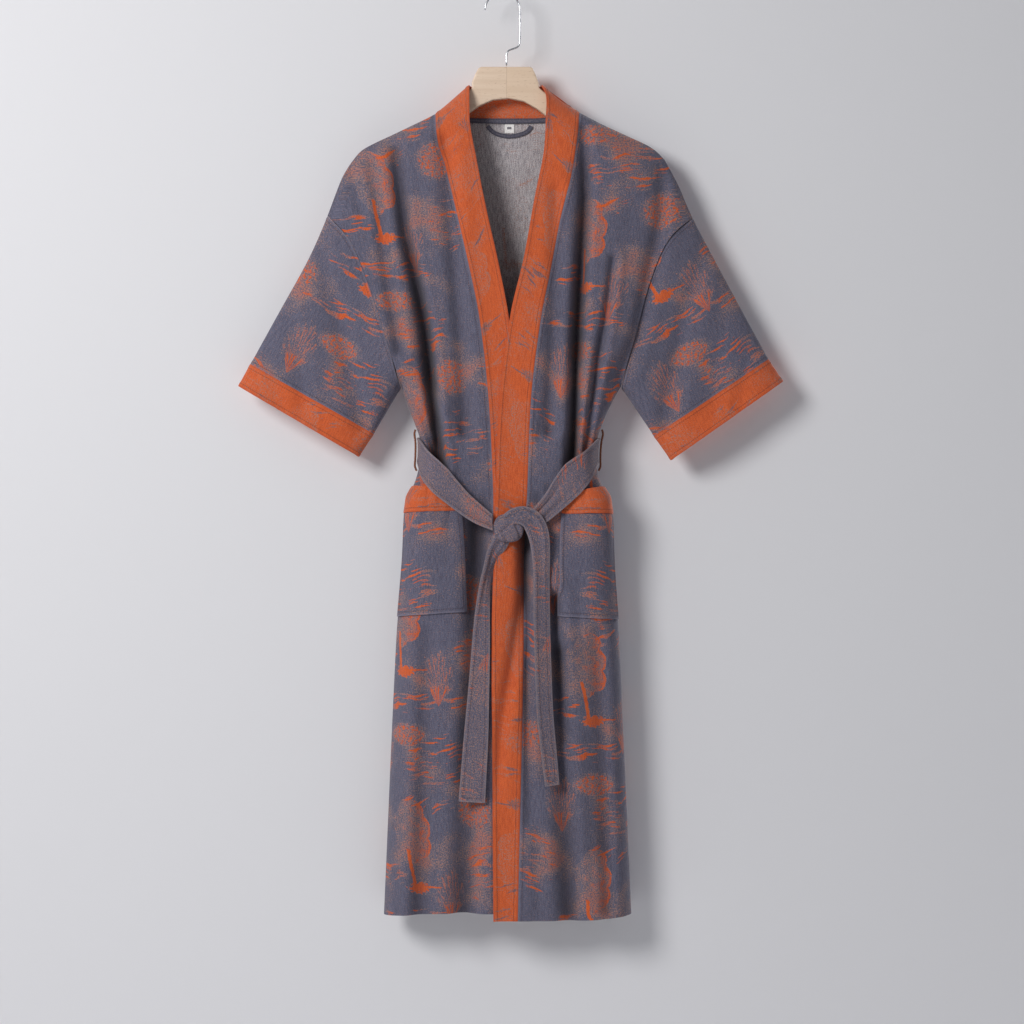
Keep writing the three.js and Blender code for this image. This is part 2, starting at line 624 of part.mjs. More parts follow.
// The hanger is a flat board whose arms run just below the shoulder line.
function hangerBoard() {
  const arm = (side) => {
    const shoulder = sampled(side.shoulder, 16).slice(1);
    const line = [...sampled(side.ridge, 3), ...shoulder.filter(([x]) => Math.abs(x - BOARD_X) < ARM_REACH)];
    const outward = Math.sign(side.side[0][0] - MIDDLE_X);
    return line.map(([x, z], i) => {
      const [ax, az] = line[Math.max(i - 1, 0)];
      const [bx, bz] = line[Math.min(i + 1, line.length - 1)];
      const span = Math.hypot(bx - ax, bz - az);
      const drop = mix(BOARD_DROP, TIP_DROP, i / (line.length - 1));
      return [x - outward * (az - bz) / span * drop, z - Math.abs(bx - ax) / span * drop];
    });
  };
  const outline = [
    ...arm(RIGHT).reverse(),
    ...BOARD_SHOULDERS,
    ...arm(LEFT),
    ...sampled(BOARD_UNDERSIDE, 22),
  ];
  const shape = new THREE.Shape(outline.map((p) => new THREE.Vector2(p[0], p[1])));
  const geometry = new THREE.ExtrudeGeometry(shape, {
    depth: BOARD - 2 * BOARD_BEVEL,
    bevelThickness: BOARD_BEVEL,
    bevelSize: BOARD_BEVEL,
    bevelOffset: -BOARD_BEVEL,
    bevelSegments: 2,
  });
  geometry.rotateX(Math.PI / 2);
  geometry.translate(0, (BOARD - 2 * BOARD_BEVEL) / 2, 0);
  return geometry;
}

// The hook turns over the rail, comes down one side and steps in to the board.
function hook() {
  const radius = HOOK_RADIUS + WIRE / 2;
  const arc = Array.from({ length: 13 }, (_, i) => {
    const turn = Math.PI * (1 - i / 12);
    return new THREE.Vector3(Math.cos(turn) * radius, 0, Math.sin(turn) * radius - HOOK_RADIUS);
  });
  const stem = HOOK_STEM.map(([x, z]) => new THREE.Vector3(x, 0, z));
  return wire([...arc, ...stem], WIRE, 48, 8);
}

// =====================================================================
// Assembly
// =====================================================================

const cotton = new THREE.MeshStandardMaterial({ color: 0x6b5f70, roughness: 0.93, metalness: 0 });
const orangeCotton = new THREE.MeshStandardMaterial({ color: 0xb8502c, roughness: 0.93, metalness: 0 });
const thread = new THREE.MeshStandardMaterial({ color: 0x5d4038, roughness: 0.8, metalness: 0 });
const paperWhite = new THREE.MeshStandardMaterial({ color: 0xe8e6e2, roughness: 0.7, metalness: 0 });
const beech = new THREE.MeshStandardMaterial({ color: 0xd6bd9f, roughness: 0.5, metalness: 0 });
const chrome = new THREE.MeshStandardMaterial({ color: 0xb9bcc0, roughness: 0.25, metalness: 1 });

const robe = new THREE.Group();

function add(name, geometry, material) {
  const mesh = new THREE.Mesh(geometry, material);
  mesh.name = name;
  robe.add(mesh);
  return mesh;
}

const back = skin(backGrid(), FULL_ACROSS);
const under = skin(frontGrid(RIGHT, 0), ACROSS);
const over = skin(frontGrid(LEFT, LAP), ACROSS);

add('back_panel', wall(back.grid, CLOTH), cotton);
add('front_under', wall(under.grid, CLOTH), cotton);
add('front_over', wall(over.grid, CLOTH), cotton);
add('sleeve_right', sleeve(RIGHT), cotton);
add('sleeve_left', sleeve(LEFT), cotton);
add('cuff_right', cuff(RIGHT), orangeCotton);
add('cuff_left', cuff(LEFT), orangeCotton);
add('collar_band', collarBand(), orangeCotton);
for (const [name, pocket, panel] of [['right', POCKET_RIGHT, under], ['left', POCKET_LEFT, over]]) {
  const band = POCKET_BAND / pocketHeight(pocket);
  const gap = SEAM / pocketHeight(pocket);
  add(`pocket_${name}`, pocketPiece(pocket, panel, band + gap, 1, 7, CLOTH), cotton);
  add(`pocket_band_${name}`, pocketPiece(pocket, panel, 0, band, 4, DOUBLE), orangeCotton);
}
add('belt_waist', beltWaist(under, over, back), cotton);
add('belt_knot', knot(), cotton);
add('belt_end_right', beltEnd(END_RIGHT), cotton);
add('belt_end_left', beltEnd(END_LEFT), cotton);
add('belt_loop_right', beltLoop(RIGHT), thread);
add('belt_loop_left', beltLoop(LEFT), thread);
add('neck_tape', neckStrip(TAPE.rows, TAPE.inset, TAPE.thickness), cotton);
add('neck_loop', neckLoop(NECK_LOOP.line, NECK_LOOP.width, NECK_LOOP.inset, NECK_LOOP.thickness), cotton);
add('neck_label', neckStrip(LABEL.rows, LABEL.inset, LABEL.thickness), paperWhite);
add('hanger_board', hangerBoard(), beech);
add('hanger_hook', hook(), chrome);

export default robe;
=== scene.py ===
# %% [markdown]
# # A cotton yukata robe on a wooden hanger
# The robe is a short-sleeved cotton yukata in a two-colour jacquard, hung up with its belt tied.
# The imported model comes in first, as a fixed frame. Every piece made here takes its place from it,
# in metres, with +Z up, the front of the robe facing -Y and the origin inside the top of the hook.

# %% The frame
import math

import bpy
import numpy as np
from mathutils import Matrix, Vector


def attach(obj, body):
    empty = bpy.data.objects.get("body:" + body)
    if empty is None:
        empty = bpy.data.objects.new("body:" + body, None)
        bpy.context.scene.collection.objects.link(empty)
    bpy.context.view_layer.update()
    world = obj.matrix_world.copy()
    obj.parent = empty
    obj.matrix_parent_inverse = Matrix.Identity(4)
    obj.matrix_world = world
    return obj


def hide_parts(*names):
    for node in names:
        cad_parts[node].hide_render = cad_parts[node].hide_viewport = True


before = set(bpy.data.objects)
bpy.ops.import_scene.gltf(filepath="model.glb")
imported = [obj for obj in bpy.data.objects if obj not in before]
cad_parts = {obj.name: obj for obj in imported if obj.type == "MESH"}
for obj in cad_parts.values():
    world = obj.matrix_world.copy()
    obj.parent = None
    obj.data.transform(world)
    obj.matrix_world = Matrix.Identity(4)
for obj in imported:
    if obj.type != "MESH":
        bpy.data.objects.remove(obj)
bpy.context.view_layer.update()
MM = 0.001

# %% [markdown]
# ## Camera
# A hanging garment is looked at straight on, from far enough away that its sides don't turn out of
# sight. So the lens is long, about four metres off, level with the middle of the robe. The view is
# a square. Its width at the cloth is all that the lens has to be worked out from.

# %% Camera
VIEW_ACROSS = 1.485
CAMERA_OFF = 4.0
CAMERA_X = 0.0138
CAMERA_Z = -0.755
CLOTH_Y = -0.018

camera = bpy.data.objects.new("camera", bpy.data.cameras.new("camera"))
bpy.context.scene.collection.objects.link(camera)
camera.location = (CAMERA_X, CLOTH_Y - CAMERA_OFF, CAMERA_Z)
camera.rotation_euler = (math.radians(90), 0, 0)
camera.data.lens = camera.data.sensor_width * CAMERA_OFF / VIEW_ACROSS
bpy.context.scene.camera = camera
print("lens:", round(camera.data.lens, 1), "mm")

# %% [markdown]
# ## Node formulas
# A woven picture is drawn by sums on a position. Written as separate nodes and links such sums are
# hard to read, so a wire is wrapped in a small class: adding or multiplying two wires adds a Math
# node. Colours are given as they look on a screen and turned into light.

# %% Helpers for materials
def paint(red, green, blue):
    """A screen colour, 0 to 255, as linear light."""
    def linear(value):
        share = value / 255
        return share / 12.92 if share <= 0.04045 else ((share + 0.055) / 1.055) ** 2.4
    return (linear(red), linear(green), linear(blue), 1.0)


class Wire:
    """One output of a node. Sums on wires add Math nodes to its tree."""

    def __init__(self, tree, socket):
        self.tree = tree
        self.socket = socket

    def __add__(self, other):
        return calc(self.tree, "ADD", self, other)

    def __radd__(self, other):
        return calc(self.tree, "ADD", other, self)

    def __sub__(self, other):
        return calc(self.tree, "SUBTRACT", self, other)

    def __rsub__(self, other):
        return calc(self.tree, "SUBTRACT", other, self)

    def __mul__(self, other):
        return calc(self.tree, "MULTIPLY", self, other)

    def __truediv__(self, other):
        return calc(self.tree, "DIVIDE", self, other)


def plug(tree, value, socket):
    """Links a wire to a socket, or sets a plain value on it."""
    if isinstance(value, Wire):
        tree.links.new(value.socket, socket)
    else:
        socket.default_value = value


def calc(tree, operation, *values):
    node = tree.nodes.new("ShaderNodeMath")
    node.operation = operation
    for socket, value in zip(node.inputs, values):
        plug(tree, value, socket)
    return Wire(tree, node.outputs[0])


def either(first, second):
    """The larger of two masks."""
    return calc(first.tree, "MAXIMUM", first, second)


def step(value, start, end):
    """0 at start, 1 at end, and soft in between."""
    node = value.tree.nodes.new("ShaderNodeMapRange")
    node.interpolation_type = "SMOOTHSTEP"
    for socket, given in zip(node.inputs, (value, start, end, 0.0, 1.0)):
        plug(value.tree, given, socket)
    return Wire(value.tree, node.outputs[0])


def place(tree, x, y, z=0.0):
    node = tree.nodes.new("ShaderNodeCombineXYZ")
    for socket, value in zip(node.inputs, (x, y, z)):
        plug(tree, value, socket)
    return Wire(tree, node.outputs[0])


def axes_of(vector):
    node = vector.tree.nodes.new("ShaderNodeSeparateXYZ")
    vector.tree.links.new(vector.socket, node.inputs[0])
    return [Wire(vector.tree, socket) for socket in node.outputs]


def parts_of(vector):
    """The two parts of a place on the flat cloth."""
    return axes_of(vector)[:2]


def far_off(x, z):
    """Distance of a place from the middle."""
    return calc(x.tree, "SQRT", x * x + z * z)


def noise(vector, scale, detail=2.0, roughness=0.5):
    node = vector.tree.nodes.new("ShaderNodeTexNoise")
    vector.tree.links.new(vector.socket, node.inputs["Vector"])
    node.inputs["Scale"].default_value = scale
    node.inputs["Detail"].default_value = detail
    node.inputs["Roughness"].default_value = roughness
    return Wire(vector.tree, node.outputs[0])


def blend(tree, amount, first, second):
    """A colour from first, at 0, to second, at 1."""
    node = tree.nodes.new("ShaderNodeMix")
    node.data_type = "RGBA"
    plug(tree, amount, node.inputs["Factor"])
    plug(tree, first, node.inputs[6])
    plug(tree, second, node.inputs[7])
    return Wire(tree, node.outputs[2])


def new_group(name, inputs, outputs):
    """A shader node group. Returns its tree, a wire for each input, and its output node."""
    tree = bpy.data.node_groups.new(name, "ShaderNodeTree")
    for label, kind in inputs:
        tree.interface.new_socket(label, in_out="INPUT", socket_type=kind)
    for label, kind in outputs:
        tree.interface.new_socket(label, in_out="OUTPUT", socket_type=kind)
    source = tree.nodes.new("NodeGroupInput")
    target = tree.nodes.new("NodeGroupOutput")
    wires = [Wire(tree, source.outputs[label]) for label, _ in inputs]
    return tree, wires, target


def use_group(tree, name, **values):
    """Places a group in a tree and returns its outputs by name."""
    node = tree.nodes.new("ShaderNodeGroup")
    node.node_tree = bpy.data.node_groups[name]
    for label, value in values.items():
        plug(tree, value, node.inputs[label])
    return {socket.name: Wire(tree, socket) for socket in node.outputs}


def give(out, **wires):
    """Links wires to the outputs of a group."""
    for label, wire in wires.items():
        wire.tree.links.new(wire.socket, out.inputs[label])


VECTOR = "NodeSocketVector"
FLOAT = "NodeSocketFloat"
print("helpers ready")

# %% [markdown]
# ## The woven motifs
# The cloth is a toile: trees, ground and brush strokes woven in orange on grey. Each motif is a
# group of its own that says how much orange shows at a place, from 0 to 1. The lobed tree is a
# crown of stacked round lobes over a straight trunk and a tuft of grass. Its crown is a heather of
# both yarns, and its right side is the brighter. Positions are in metres on the flat cloth.

# %% Lobed tree
LOBES = [(0.002, 0.026, 0.021), (-0.008, 0.010, 0.022), (0.011, 0.004, 0.021), (-0.005, -0.014, 0.022),
         (0.012, -0.021, 0.019), (-0.002, -0.034, 0.014)]
TRUNK_FOOT = -0.082

tree, (spot,), out = new_group("Lobed tree", [("Vector", VECTOR)], [("Amount", FLOAT)])
x, z = parts_of(spot)
ragged = noise(spot, 260.0, 1.0) - 0.5
gap = None
for lobe_x, lobe_z, radius in LOBES:
    reach = far_off(x - lobe_x, z - lobe_z) - radius
    gap = reach if gap is None else calc(tree, "MINIMUM", gap, reach)
crown = step(gap + ragged * 0.004, 0.001, -0.001)
heather = 0.29 + x * 3.4 + (noise(spot, 90.0, 1.0) - 0.5) * 0.45
rim = step(gap, -0.005, 0.0) * step(x, 0.0, 0.012) * 0.12
lean = x + ragged * 0.004 + (z - TRUNK_FOOT) * 0.06
beside = calc(tree, "ABSOLUTE", lean + 0.003)
trunk = step(beside, 0.0034, 0.0018) * step(z, TRUNK_FOOT, TRUNK_FOOT + 0.004) * step(z, -0.02, -0.03)
beside_foot, over_foot = x - 0.004, z - TRUNK_FOOT
grass_gap = calc(tree, "SQRT", beside_foot * beside_foot * 0.35 + over_foot * over_foot * 1.6)
grass = step(grass_gap + ragged * 0.016, 0.0125, 0.0070)
line_gap = calc(tree, "ABSOLUTE", z - TRUNK_FOOT - 0.002 + ragged * 0.002)
ground_line = step(line_gap, 0.0014, 0.0006) * step(x, -0.012, 0.0) * step(x, 0.048, 0.03) * 0.8
amount = either(either(crown * (heather + rim), trunk * 0.82), either(grass * 0.66, ground_line))
give(out, Amount=amount)
print("lobed tree:", len(tree.nodes), "nodes")

# %% [markdown]
# The fan tree has no outline. Fine strokes fan out from its foot, dull at the tips and bright
# where they meet, so it is drawn by angle: a noise that is long along the strokes and short
# across them, kept inside an oval crown.

# %% Fan tree
FAN_FOOT = -0.046
FAN_WIDE = 0.026
FAN_TALL = 0.036

tree, (spot,), out = new_group("Fan tree", [("Vector", VECTOR)], [("Amount", FLOAT)])
x, z = parts_of(spot)
rise = z - FAN_FOOT
angle = calc(tree, "ARCTAN2", x, rise)
far = far_off(x, rise)
strokes = noise(place(tree, angle * 11.0, far * 26.0), 2.2, 2.0, 0.6)
oval = far_off(x / FAN_WIDE, z / FAN_TALL)
ragged = noise(spot, 220.0, 1.0) - 0.5
crown = step(oval + ragged * 0.7, 1.08, 0.78)
fine = step(strokes, 0.46, 0.56) * crown * 0.27 + crown * 0.10
strands = noise(place(tree, angle * 5.0, far * 12.0, 3.0), 2.0, 1.0)
foot = step(strands, 0.42, 0.52) * step(far, 0.04, 0.018) * step(rise, 0.0, 0.003)
foot = foot * step(calc(tree, "ABSOLUTE", angle), 0.62, 0.4) * 0.85
amount = either(fine, foot)
give(out, Amount=amount)
print("fan tree:", len(tree.nodes), "nodes")

# %% [markdown]
# Between the trees run brush strokes: pointed, ragged dashes of water and ground. A noise that is
# stretched along one direction and cut off high gives just such shapes. Tilt turns them, and
# Cover sets how many show.

# %% Brush strokes
tree, (spot, tilt, cover), out = new_group(
    "Brush strokes", [("Vector", VECTOR), ("Tilt", FLOAT), ("Cover", FLOAT)], [("Amount", FLOAT)])
x, z = parts_of(spot)
cosine = calc(tree, "COSINE", tilt)
sine = calc(tree, "SINE", tilt)
along = x * cosine + z * sine
over = z * cosine - x * sine
wander = (noise(spot, 30.0, 1.0) - 0.5) * 0.016
dashes = noise(place(tree, along * 24.0, (over + wander) * 175.0), 1.0, 3.0, 0.62)
limit = 0.67 - cover * 0.155
amount = step(dashes, limit - 0.016, limit + 0.03)
give(out, Amount=amount)
print("brush strokes:", len(tree.nodes), "nodes")

# %% [markdown]
# ## The repeat
# The motifs stand in one repeat, 280 mm wide and 313 mm high. Each has its place in it, and a
# wrapped position carries it over the edge of the repeat, as the loom does. Zones of strokes and
# of scribbled leaves fill the room between the trees.

# %% Toile repeat
REPEAT = (0.280, 0.313)
TREES = [("Lobed tree", 0.0, 0.0), ("Fan tree", 0.054, -0.087), ("Fan tree", -0.051, 0.116)]
ZONES = [
    # across, up, half width, half height, tilt of the strokes, cover
    (0.048, 0.098, 0.066, 0.052, 0.10, 0.80),
    (-0.040, -0.062, 0.036, 0.020, 0.05, 0.75),
    (0.030, 0.040, 0.052, 0.022, 0.35, 0.62),
    (-0.095, 0.030, 0.044, 0.060, -0.30, 0.70),
    (0.118, -0.060, 0.046, 0.055, 0.12, 0.75),
    (0.010, -0.128, 0.120, 0.018, 0.0, 0.85),
]
LEAVES = [(0.104, 0.030, 0.034, 0.034), (-0.100, -0.100, 0.034, 0.026), (0.000, 0.140, 0.040, 0.020)]


def wrapped(value, middle, period):
    """A position in a repeat, measured from a motif's middle."""
    return (calc(value.tree, "FRACT", (value - middle) / period + 0.5) - 0.5) * period


def in_oval(x, z, middle, half, rim, core):
    """1 inside the core of an oval in the repeat, and 0 past its rim."""
    local_x = wrapped(x, middle[0], REPEAT[0]) / half[0]
    local_z = wrapped(z, middle[1], REPEAT[1]) / half[1]
    return step(local_x * local_x + local_z * local_z, rim, core)


tree, (spot,), out = new_group("Toile", [("Vector", VECTOR)], [("Amount", FLOAT)])
x, z = parts_of(spot)
strength = 0.36 + step(noise(spot, 26.0, 1.0), 0.40, 0.64) * 0.44
amount = None
for name, middle_x, middle_z in TREES:
    local = place(tree, wrapped(x, middle_x, REPEAT[0]), wrapped(z, middle_z, REPEAT[1]))
    motif = use_group(tree, name, Vector=local)["Amount"]
    amount = motif if amount is None else either(amount, motif)
for middle_x, middle_z, wide, tall, tilt, cover in ZONES:
    inside = in_oval(x, z, (middle_x, middle_z), (wide, tall), 1.2, 0.35)
    dashes = use_group(tree, "Brush strokes", Vector=spot, Tilt=tilt, Cover=inside * cover)["Amount"]
    amount = either(amount, dashes * inside * strength)
scribble = noise(spot, 210.0, 3.0, 0.7)
for middle_x, middle_z, wide, tall in LEAVES:
    inside = in_oval(x, z, (middle_x, middle_z), (wide, tall), 1.1, 0.2)
    amount = either(amount, (0.30 + step(scribble, 0.50, 0.60) * 0.34) * inside)
mist = step(noise(spot, 13.0, 2.0), 0.44, 0.66) * 0.34
amount = either(amount, mist)
give(out, Amount=amount)
print("toile repeat:", len(tree.nodes), "nodes")

# %% [markdown]
# ## Weave and stitching
# Close up, each colour is a mix of threads. The weave group gives a speckle for the heather, a
# slub for the thick and thin of the warp, and a height for the threads of both directions. All are
# noise, because even waves this fine make false stripes at a distance. The stitching group reads
# the Stitch map, which holds the distance to the nearest sewn edge and the length along it. It
# draws one row of dashes, and gives the strip along the edge itself.

# %% Weave and stitching
STITCH_IN = 0.0055
STITCH_LONG = 0.0034
SPECKLE_GAIN = 2.1                    # how far light and dark threads stand apart

tree, (spot,), out = new_group(
    "Weave", [("Vector", VECTOR)], [("Speckle", FLOAT), ("Height", FLOAT), ("Slub", FLOAT)])
x, z = parts_of(spot)
speckle = (noise(spot, 520.0, 2.0, 0.8) - 0.5) * SPECKLE_GAIN + 0.5
warp = noise(place(tree, x * 1100.0, z * 120.0), 1.0, 1.0)
weft = noise(place(tree, x * 120.0, z * 1100.0, 5.0), 1.0, 1.0)
slub = noise(place(tree, x * 620.0, z * 75.0, 9.0), 1.0, 1.0)
give(out, Speckle=speckle, Height=warp * 0.6 + weft * 0.4, Slub=slub)

tree, (spot,), out = new_group("Stitching", [("Vector", VECTOR)], [("Row", FLOAT), ("Edge", FLOAT)])
gap, along = parts_of(spot)
row = step(calc(tree, "ABSOLUTE", gap - STITCH_IN), 0.0010, 0.0004)
dash = step(calc(tree, "ABSOLUTE", calc(tree, "FRACT", along / STITCH_LONG) - 0.5), 0.42, 0.34)
give(out, Row=row * dash, Edge=step(gap, 0.0035, 0.0004))
print("weave and stitching ready")

# %% [markdown]
# ## Cloth materials
# The body of the robe shows grey with an orange picture, and its inside is the pale heathered back.
# Bands, cuffs and pocket tops are the same cloth the other way round, and the belt is a closer mix.
# So one function makes all five, from a ground yarn, a figure yarn and the share of figure that
# shows. Each yarn has a light and a deep thread, and a pale one stands in where the figure is thin.
# Outer faces also have their stitching, a strip of another colour along the edge, and painted
# shade deep in a fold: the deeper the fold, the darker their colour is painted.

# %% Cloth materials
ORANGE = paint(218, 104, 54), paint(184, 78, 42)
GREY = paint(106, 106, 126), paint(76, 75, 92)
GREY_BACK = paint(206, 200, 202), paint(122, 118, 124)
GREY_BROWN = paint(128, 112, 120), paint(104, 74, 74)
TAN = paint(166, 128, 114)
THREAD = paint(70, 48, 52)
# The colour and the strength of the shade painted into the cloth deep in a fold.
FOLD_SHADE_PAINT = paint(34, 25, 29)
FOLD_SHADE_STRENGTH = 0.78
SOFT_EDGE = 0.18


def start_material(name):
    material = bpy.data.materials.new(name)
    material.use_nodes = True
    tree = material.node_tree
    return material, tree, tree.nodes["Principled BSDF"]


def map_wire(tree, name):
    node = tree.nodes.new("ShaderNodeUVMap")
    node.uv_map = name
    return Wire(tree, node.outputs[0])


def finish(tree, shader, colour, roughness, height, strength, reach):
    """Gives a shader its colour, its roughness and a bump that reaches so far, in metres."""
    node = tree.nodes.new("ShaderNodeBump")
    node.inputs["Strength"].default_value = strength
    node.inputs["Distance"].default_value = reach
    plug(tree, height, node.inputs["Height"])
    plug(tree, colour, shader.inputs["Base Color"])
    plug(tree, roughness, shader.inputs["Roughness"])
    plug(tree, Wire(tree, node.outputs[0]), shader.inputs["Normal"])


def cloth_material(name, ground, figure, gain, least, pale, edge=None):
    """Cloth whose figure yarn shows by gain times the toile, and by at least a small share. Ground
    and figure are pairs of a light and a deep thread. Where the figure is thin, it's a pale one."""
    material, tree, shader = start_material(name)
    flat = map_wire(tree, "Cloth")
    weave = use_group(tree, "Weave", Vector=flat)
    toile = use_group(tree, "Toile", Vector=flat)["Amount"]
    share = toile * gain + least
    showing = step(share - weave["Speckle"], -SOFT_EDGE, SOFT_EDGE)
    threads = step(noise(flat, 760.0, 1.0), 0.34, 0.66) * 0.6 + step(weave["Slub"], 0.36, 0.66) * 0.4
    base = blend(tree, threads, *ground)
    drawn = blend(tree, step(share, 0.40, 0.66), pale, blend(tree, threads, *figure))
    colour = blend(tree, showing, base, drawn)
    height = weave["Height"]
    if edge:
        sewn = use_group(tree, "Stitching", Vector=map_wire(tree, "Stitch"))
        colour = blend(tree, sewn["Row"] * 0.4, colour, THREAD)
        colour = blend(tree, sewn["Edge"] * 0.5, colour, edge)
        height = height - sewn["Row"] * 0.9
        # Painted shade: deep in a fold the colour is darkened, as the fold's own shadow would darken it.
        fold_shade, _ = parts_of(map_wire(tree, "FoldShade"))
        colour = blend(tree, fold_shade * FOLD_SHADE_STRENGTH, colour, FOLD_SHADE_PAINT)
    finish(tree, shader, colour, 0.86 + weave["Slub"] * 0.12, height, 0.55, 0.0008)
    shader.inputs["Sheen Weight"].default_value = 0.12
    shader.inputs["Sheen Roughness"].default_value = 0.6
    shader.inputs["Specular IOR Level"].default_value = 0.2
    return material


toile_cotton = cloth_material("toile cotton", GREY, ORANGE, 1.0, 0.17, TAN, paint(128, 124, 140))
toile_inside = cloth_material("toile inside", GREY_BACK, (paint(200, 136, 104), ORANGE[1]), 0.45, 0.12, TAN)
belt_cotton = cloth_material("belt cotton", GREY, ORANGE, 0.36, 0.34, TAN, paint(138, 128, 134))
contrast_cotton = cloth_material("contrast cotton", ORANGE, GREY_BROWN, 0.72, 0.10, TAN, ORANGE[1])
contrast_inside = cloth_material("contrast inside", ORANGE, GREY_BROWN, 0.4, 0.25, TAN)
print("cloth materials ready")

# %% [markdown]
# ## Small finishes
# The neck tape is plain, tightly woven cotton. The belt loops are twisted thread. The label is a
# white woven tab with a small plain dark bar in place of any mark.

# %% Tape, thread and label
def object_wire(tree):
    node = tree.nodes.new("ShaderNodeTexCoord")
    return Wire(tree, node.outputs["Object"])


plain_tape, tree, shader = start_material("plain tape")
weave = use_group(tree, "Weave", Vector=map_wire(tree, "Cloth"))
sewn = use_group(tree, "Stitching", Vector=map_wire(tree, "Stitch"))
colour = blend(tree, step(weave["Speckle"], 0.38, 0.62), paint(74, 76, 92), paint(104, 100, 112))
colour = blend(tree, sewn["Edge"] * 0.5, colour, paint(52, 52, 66))
finish(tree, shader, colour, 0.82 + weave["Slub"] * 0.12, weave["Height"], 0.5, 0.0006)

loop_thread, tree, shader = start_material("loop thread")
x, y, z = axes_of(object_wire(tree))
twist = calc(tree, "SINE", (z + y * 1.2 + x) * 3200.0)
colour = blend(tree, step(twist, -0.6, 0.8), paint(92, 58, 48), paint(168, 104, 72))
finish(tree, shader, colour, 0.8 - twist * 0.08, twist, 0.6, 0.0004)

LABEL_MARK = (0.0068, 0.0055)                   # across and down
LABEL_MARK_HALF = (0.0032, 0.0017)
label_cloth, tree, shader = start_material("label cloth")
spot = map_wire(tree, "Cloth")
weave = use_group(tree, "Weave", Vector=spot)
x, z = parts_of(spot)
off = either(calc(tree, "ABSOLUTE", (x - LABEL_MARK[0]) / LABEL_MARK_HALF[0]),
             calc(tree, "ABSOLUTE", (z - LABEL_MARK[1]) / LABEL_MARK_HALF[1]))
mark = step(off, 1.1, 0.9)
white = blend(tree, step(weave["Speckle"], 0.3, 0.7), paint(226, 224, 222), paint(244, 243, 242))
colour = blend(tree, mark * 0.85, white, paint(70, 64, 80))
finish(tree, shader, colour, 0.55 + weave["Slub"] * 0.2, weave["Height"] + mark * 0.4, 0.35, 0.0003)
print("small finishes ready")

# %% [markdown]
# ## Beech and steel
# The board is pale beech, glued up from two halves that meet in the middle, with a satin lacquer.
# Its grain runs along the arms, so the noise is stretched across. Short dark flecks are the rays
# that beech shows. The hook is nickel-plated wire with faint draw marks and a duller bend.

# %% Beech and steel
JOINT_X = 0.006
beech, tree, shader = start_material("beech")
x, y, z = axes_of(object_wire(tree))
half = step(x, JOINT_X - 0.0002, JOINT_X + 0.0002)
grain = noise(place(tree, x * 9.0 + half * 3.0, z * 170.0, y * 60.0), 1.0, 4.0, 0.6)
flecks = noise(place(tree, x * 160.0, z * 900.0, y * 300.0), 1.0, 1.0)
fleck = step(flecks, 0.66, 0.74)
colour = blend(tree, step(grain, 0.30, 0.72), paint(230, 206, 182), paint(220, 194, 168))
colour = blend(tree, half * 0.3, colour, paint(224, 196, 166))
colour = blend(tree, fleck * 0.5, colour, paint(176, 138, 104))
joint = step(calc(tree, "ABSOLUTE", x - JOINT_X), 0.0006, 0.0001)
colour = blend(tree, joint * 0.4, colour, paint(160, 124, 92))
finish(tree, shader, colour, 0.42 + grain * 0.16, grain - fleck * 0.4 - joint, 0.2, 0.0003)
shader.inputs["Coat Weight"].default_value = 0.25
shader.inputs["Coat Roughness"].default_value = 0.3

hook_steel, tree, shader = start_material("hook steel")
spot = object_wire(tree)
x, y, _ = axes_of(spot)
marks = noise(place(tree, x * 60.0, y * 3000.0), 1.0, 2.0)
worn = step(noise(spot, 120.0, 2.0), 0.45, 0.7)
colour = blend(tree, worn, paint(206, 208, 212), paint(176, 178, 184))
finish(tree, shader, colour, 0.2 + worn * 0.14, marks, 0.12, 0.0001)
shader.inputs["Metallic"].default_value = 1.0
print("beech and steel ready")

# %% [markdown]
# ## Outlines of the robe
# The robe hangs almost flat, so its pieces are drawn as outlines in the plane of the front, in
# millimetres, across and up. Left and right are the wearer's. These are the lines that a maker
# would chalk: shoulder, sleeve, armhole, side, the seam of the band and the band's free edge.

# %% Outlines
ARMPIT = -571
HEM = -1336
RIGHT = {
    "ridge": [(-48, -134), (-63, -147), (-80, -162), (-97, -176)],
    "shoulder": [(-97, -176), (-114, -185), (-158, -206), (-184, -218), (-204, -229), (-216, -242),
                 (-227, -258), (-236, -276), (-254, -324)],
    "sleeve_top": [(-254, -324), (-282, -387), (-325, -465), (-367, -541)],
    "sleeve_under": [(-147, ARMPIT), (-168, -607), (-189, -642)],
    "cuff_end": [(-384, -572), (-210, -674)],
    "armhole": [(-254, -324), (-222, -360), (-196, -420), (-170, -500), (-147, ARMPIT)],
    "side": [(-147, ARMPIT), (-136, -604), (-127, -627), (-120, -647), (-119, -668), (-121, -690),
             (-128, -714), (-139, -737), (-145, -827), (-154, -940), (-172, -1340)],
    "seam": [(-97, -176), (-94, -219), (-82, -256), (-64, -328), (-48, -400), (-33, -476), (-20, -592),
             (-13, -737), (-10, -940), (-9, -1340)],
    "free": [(-48, -134), (-48, -165), (-47, -195), (-38, -244), (-24, -315), (-5, -400), (9, -475),
             (22, -592), (30, -737), (33, -940), (34, -1340)],
    "hem": (-1340, -1334),
}
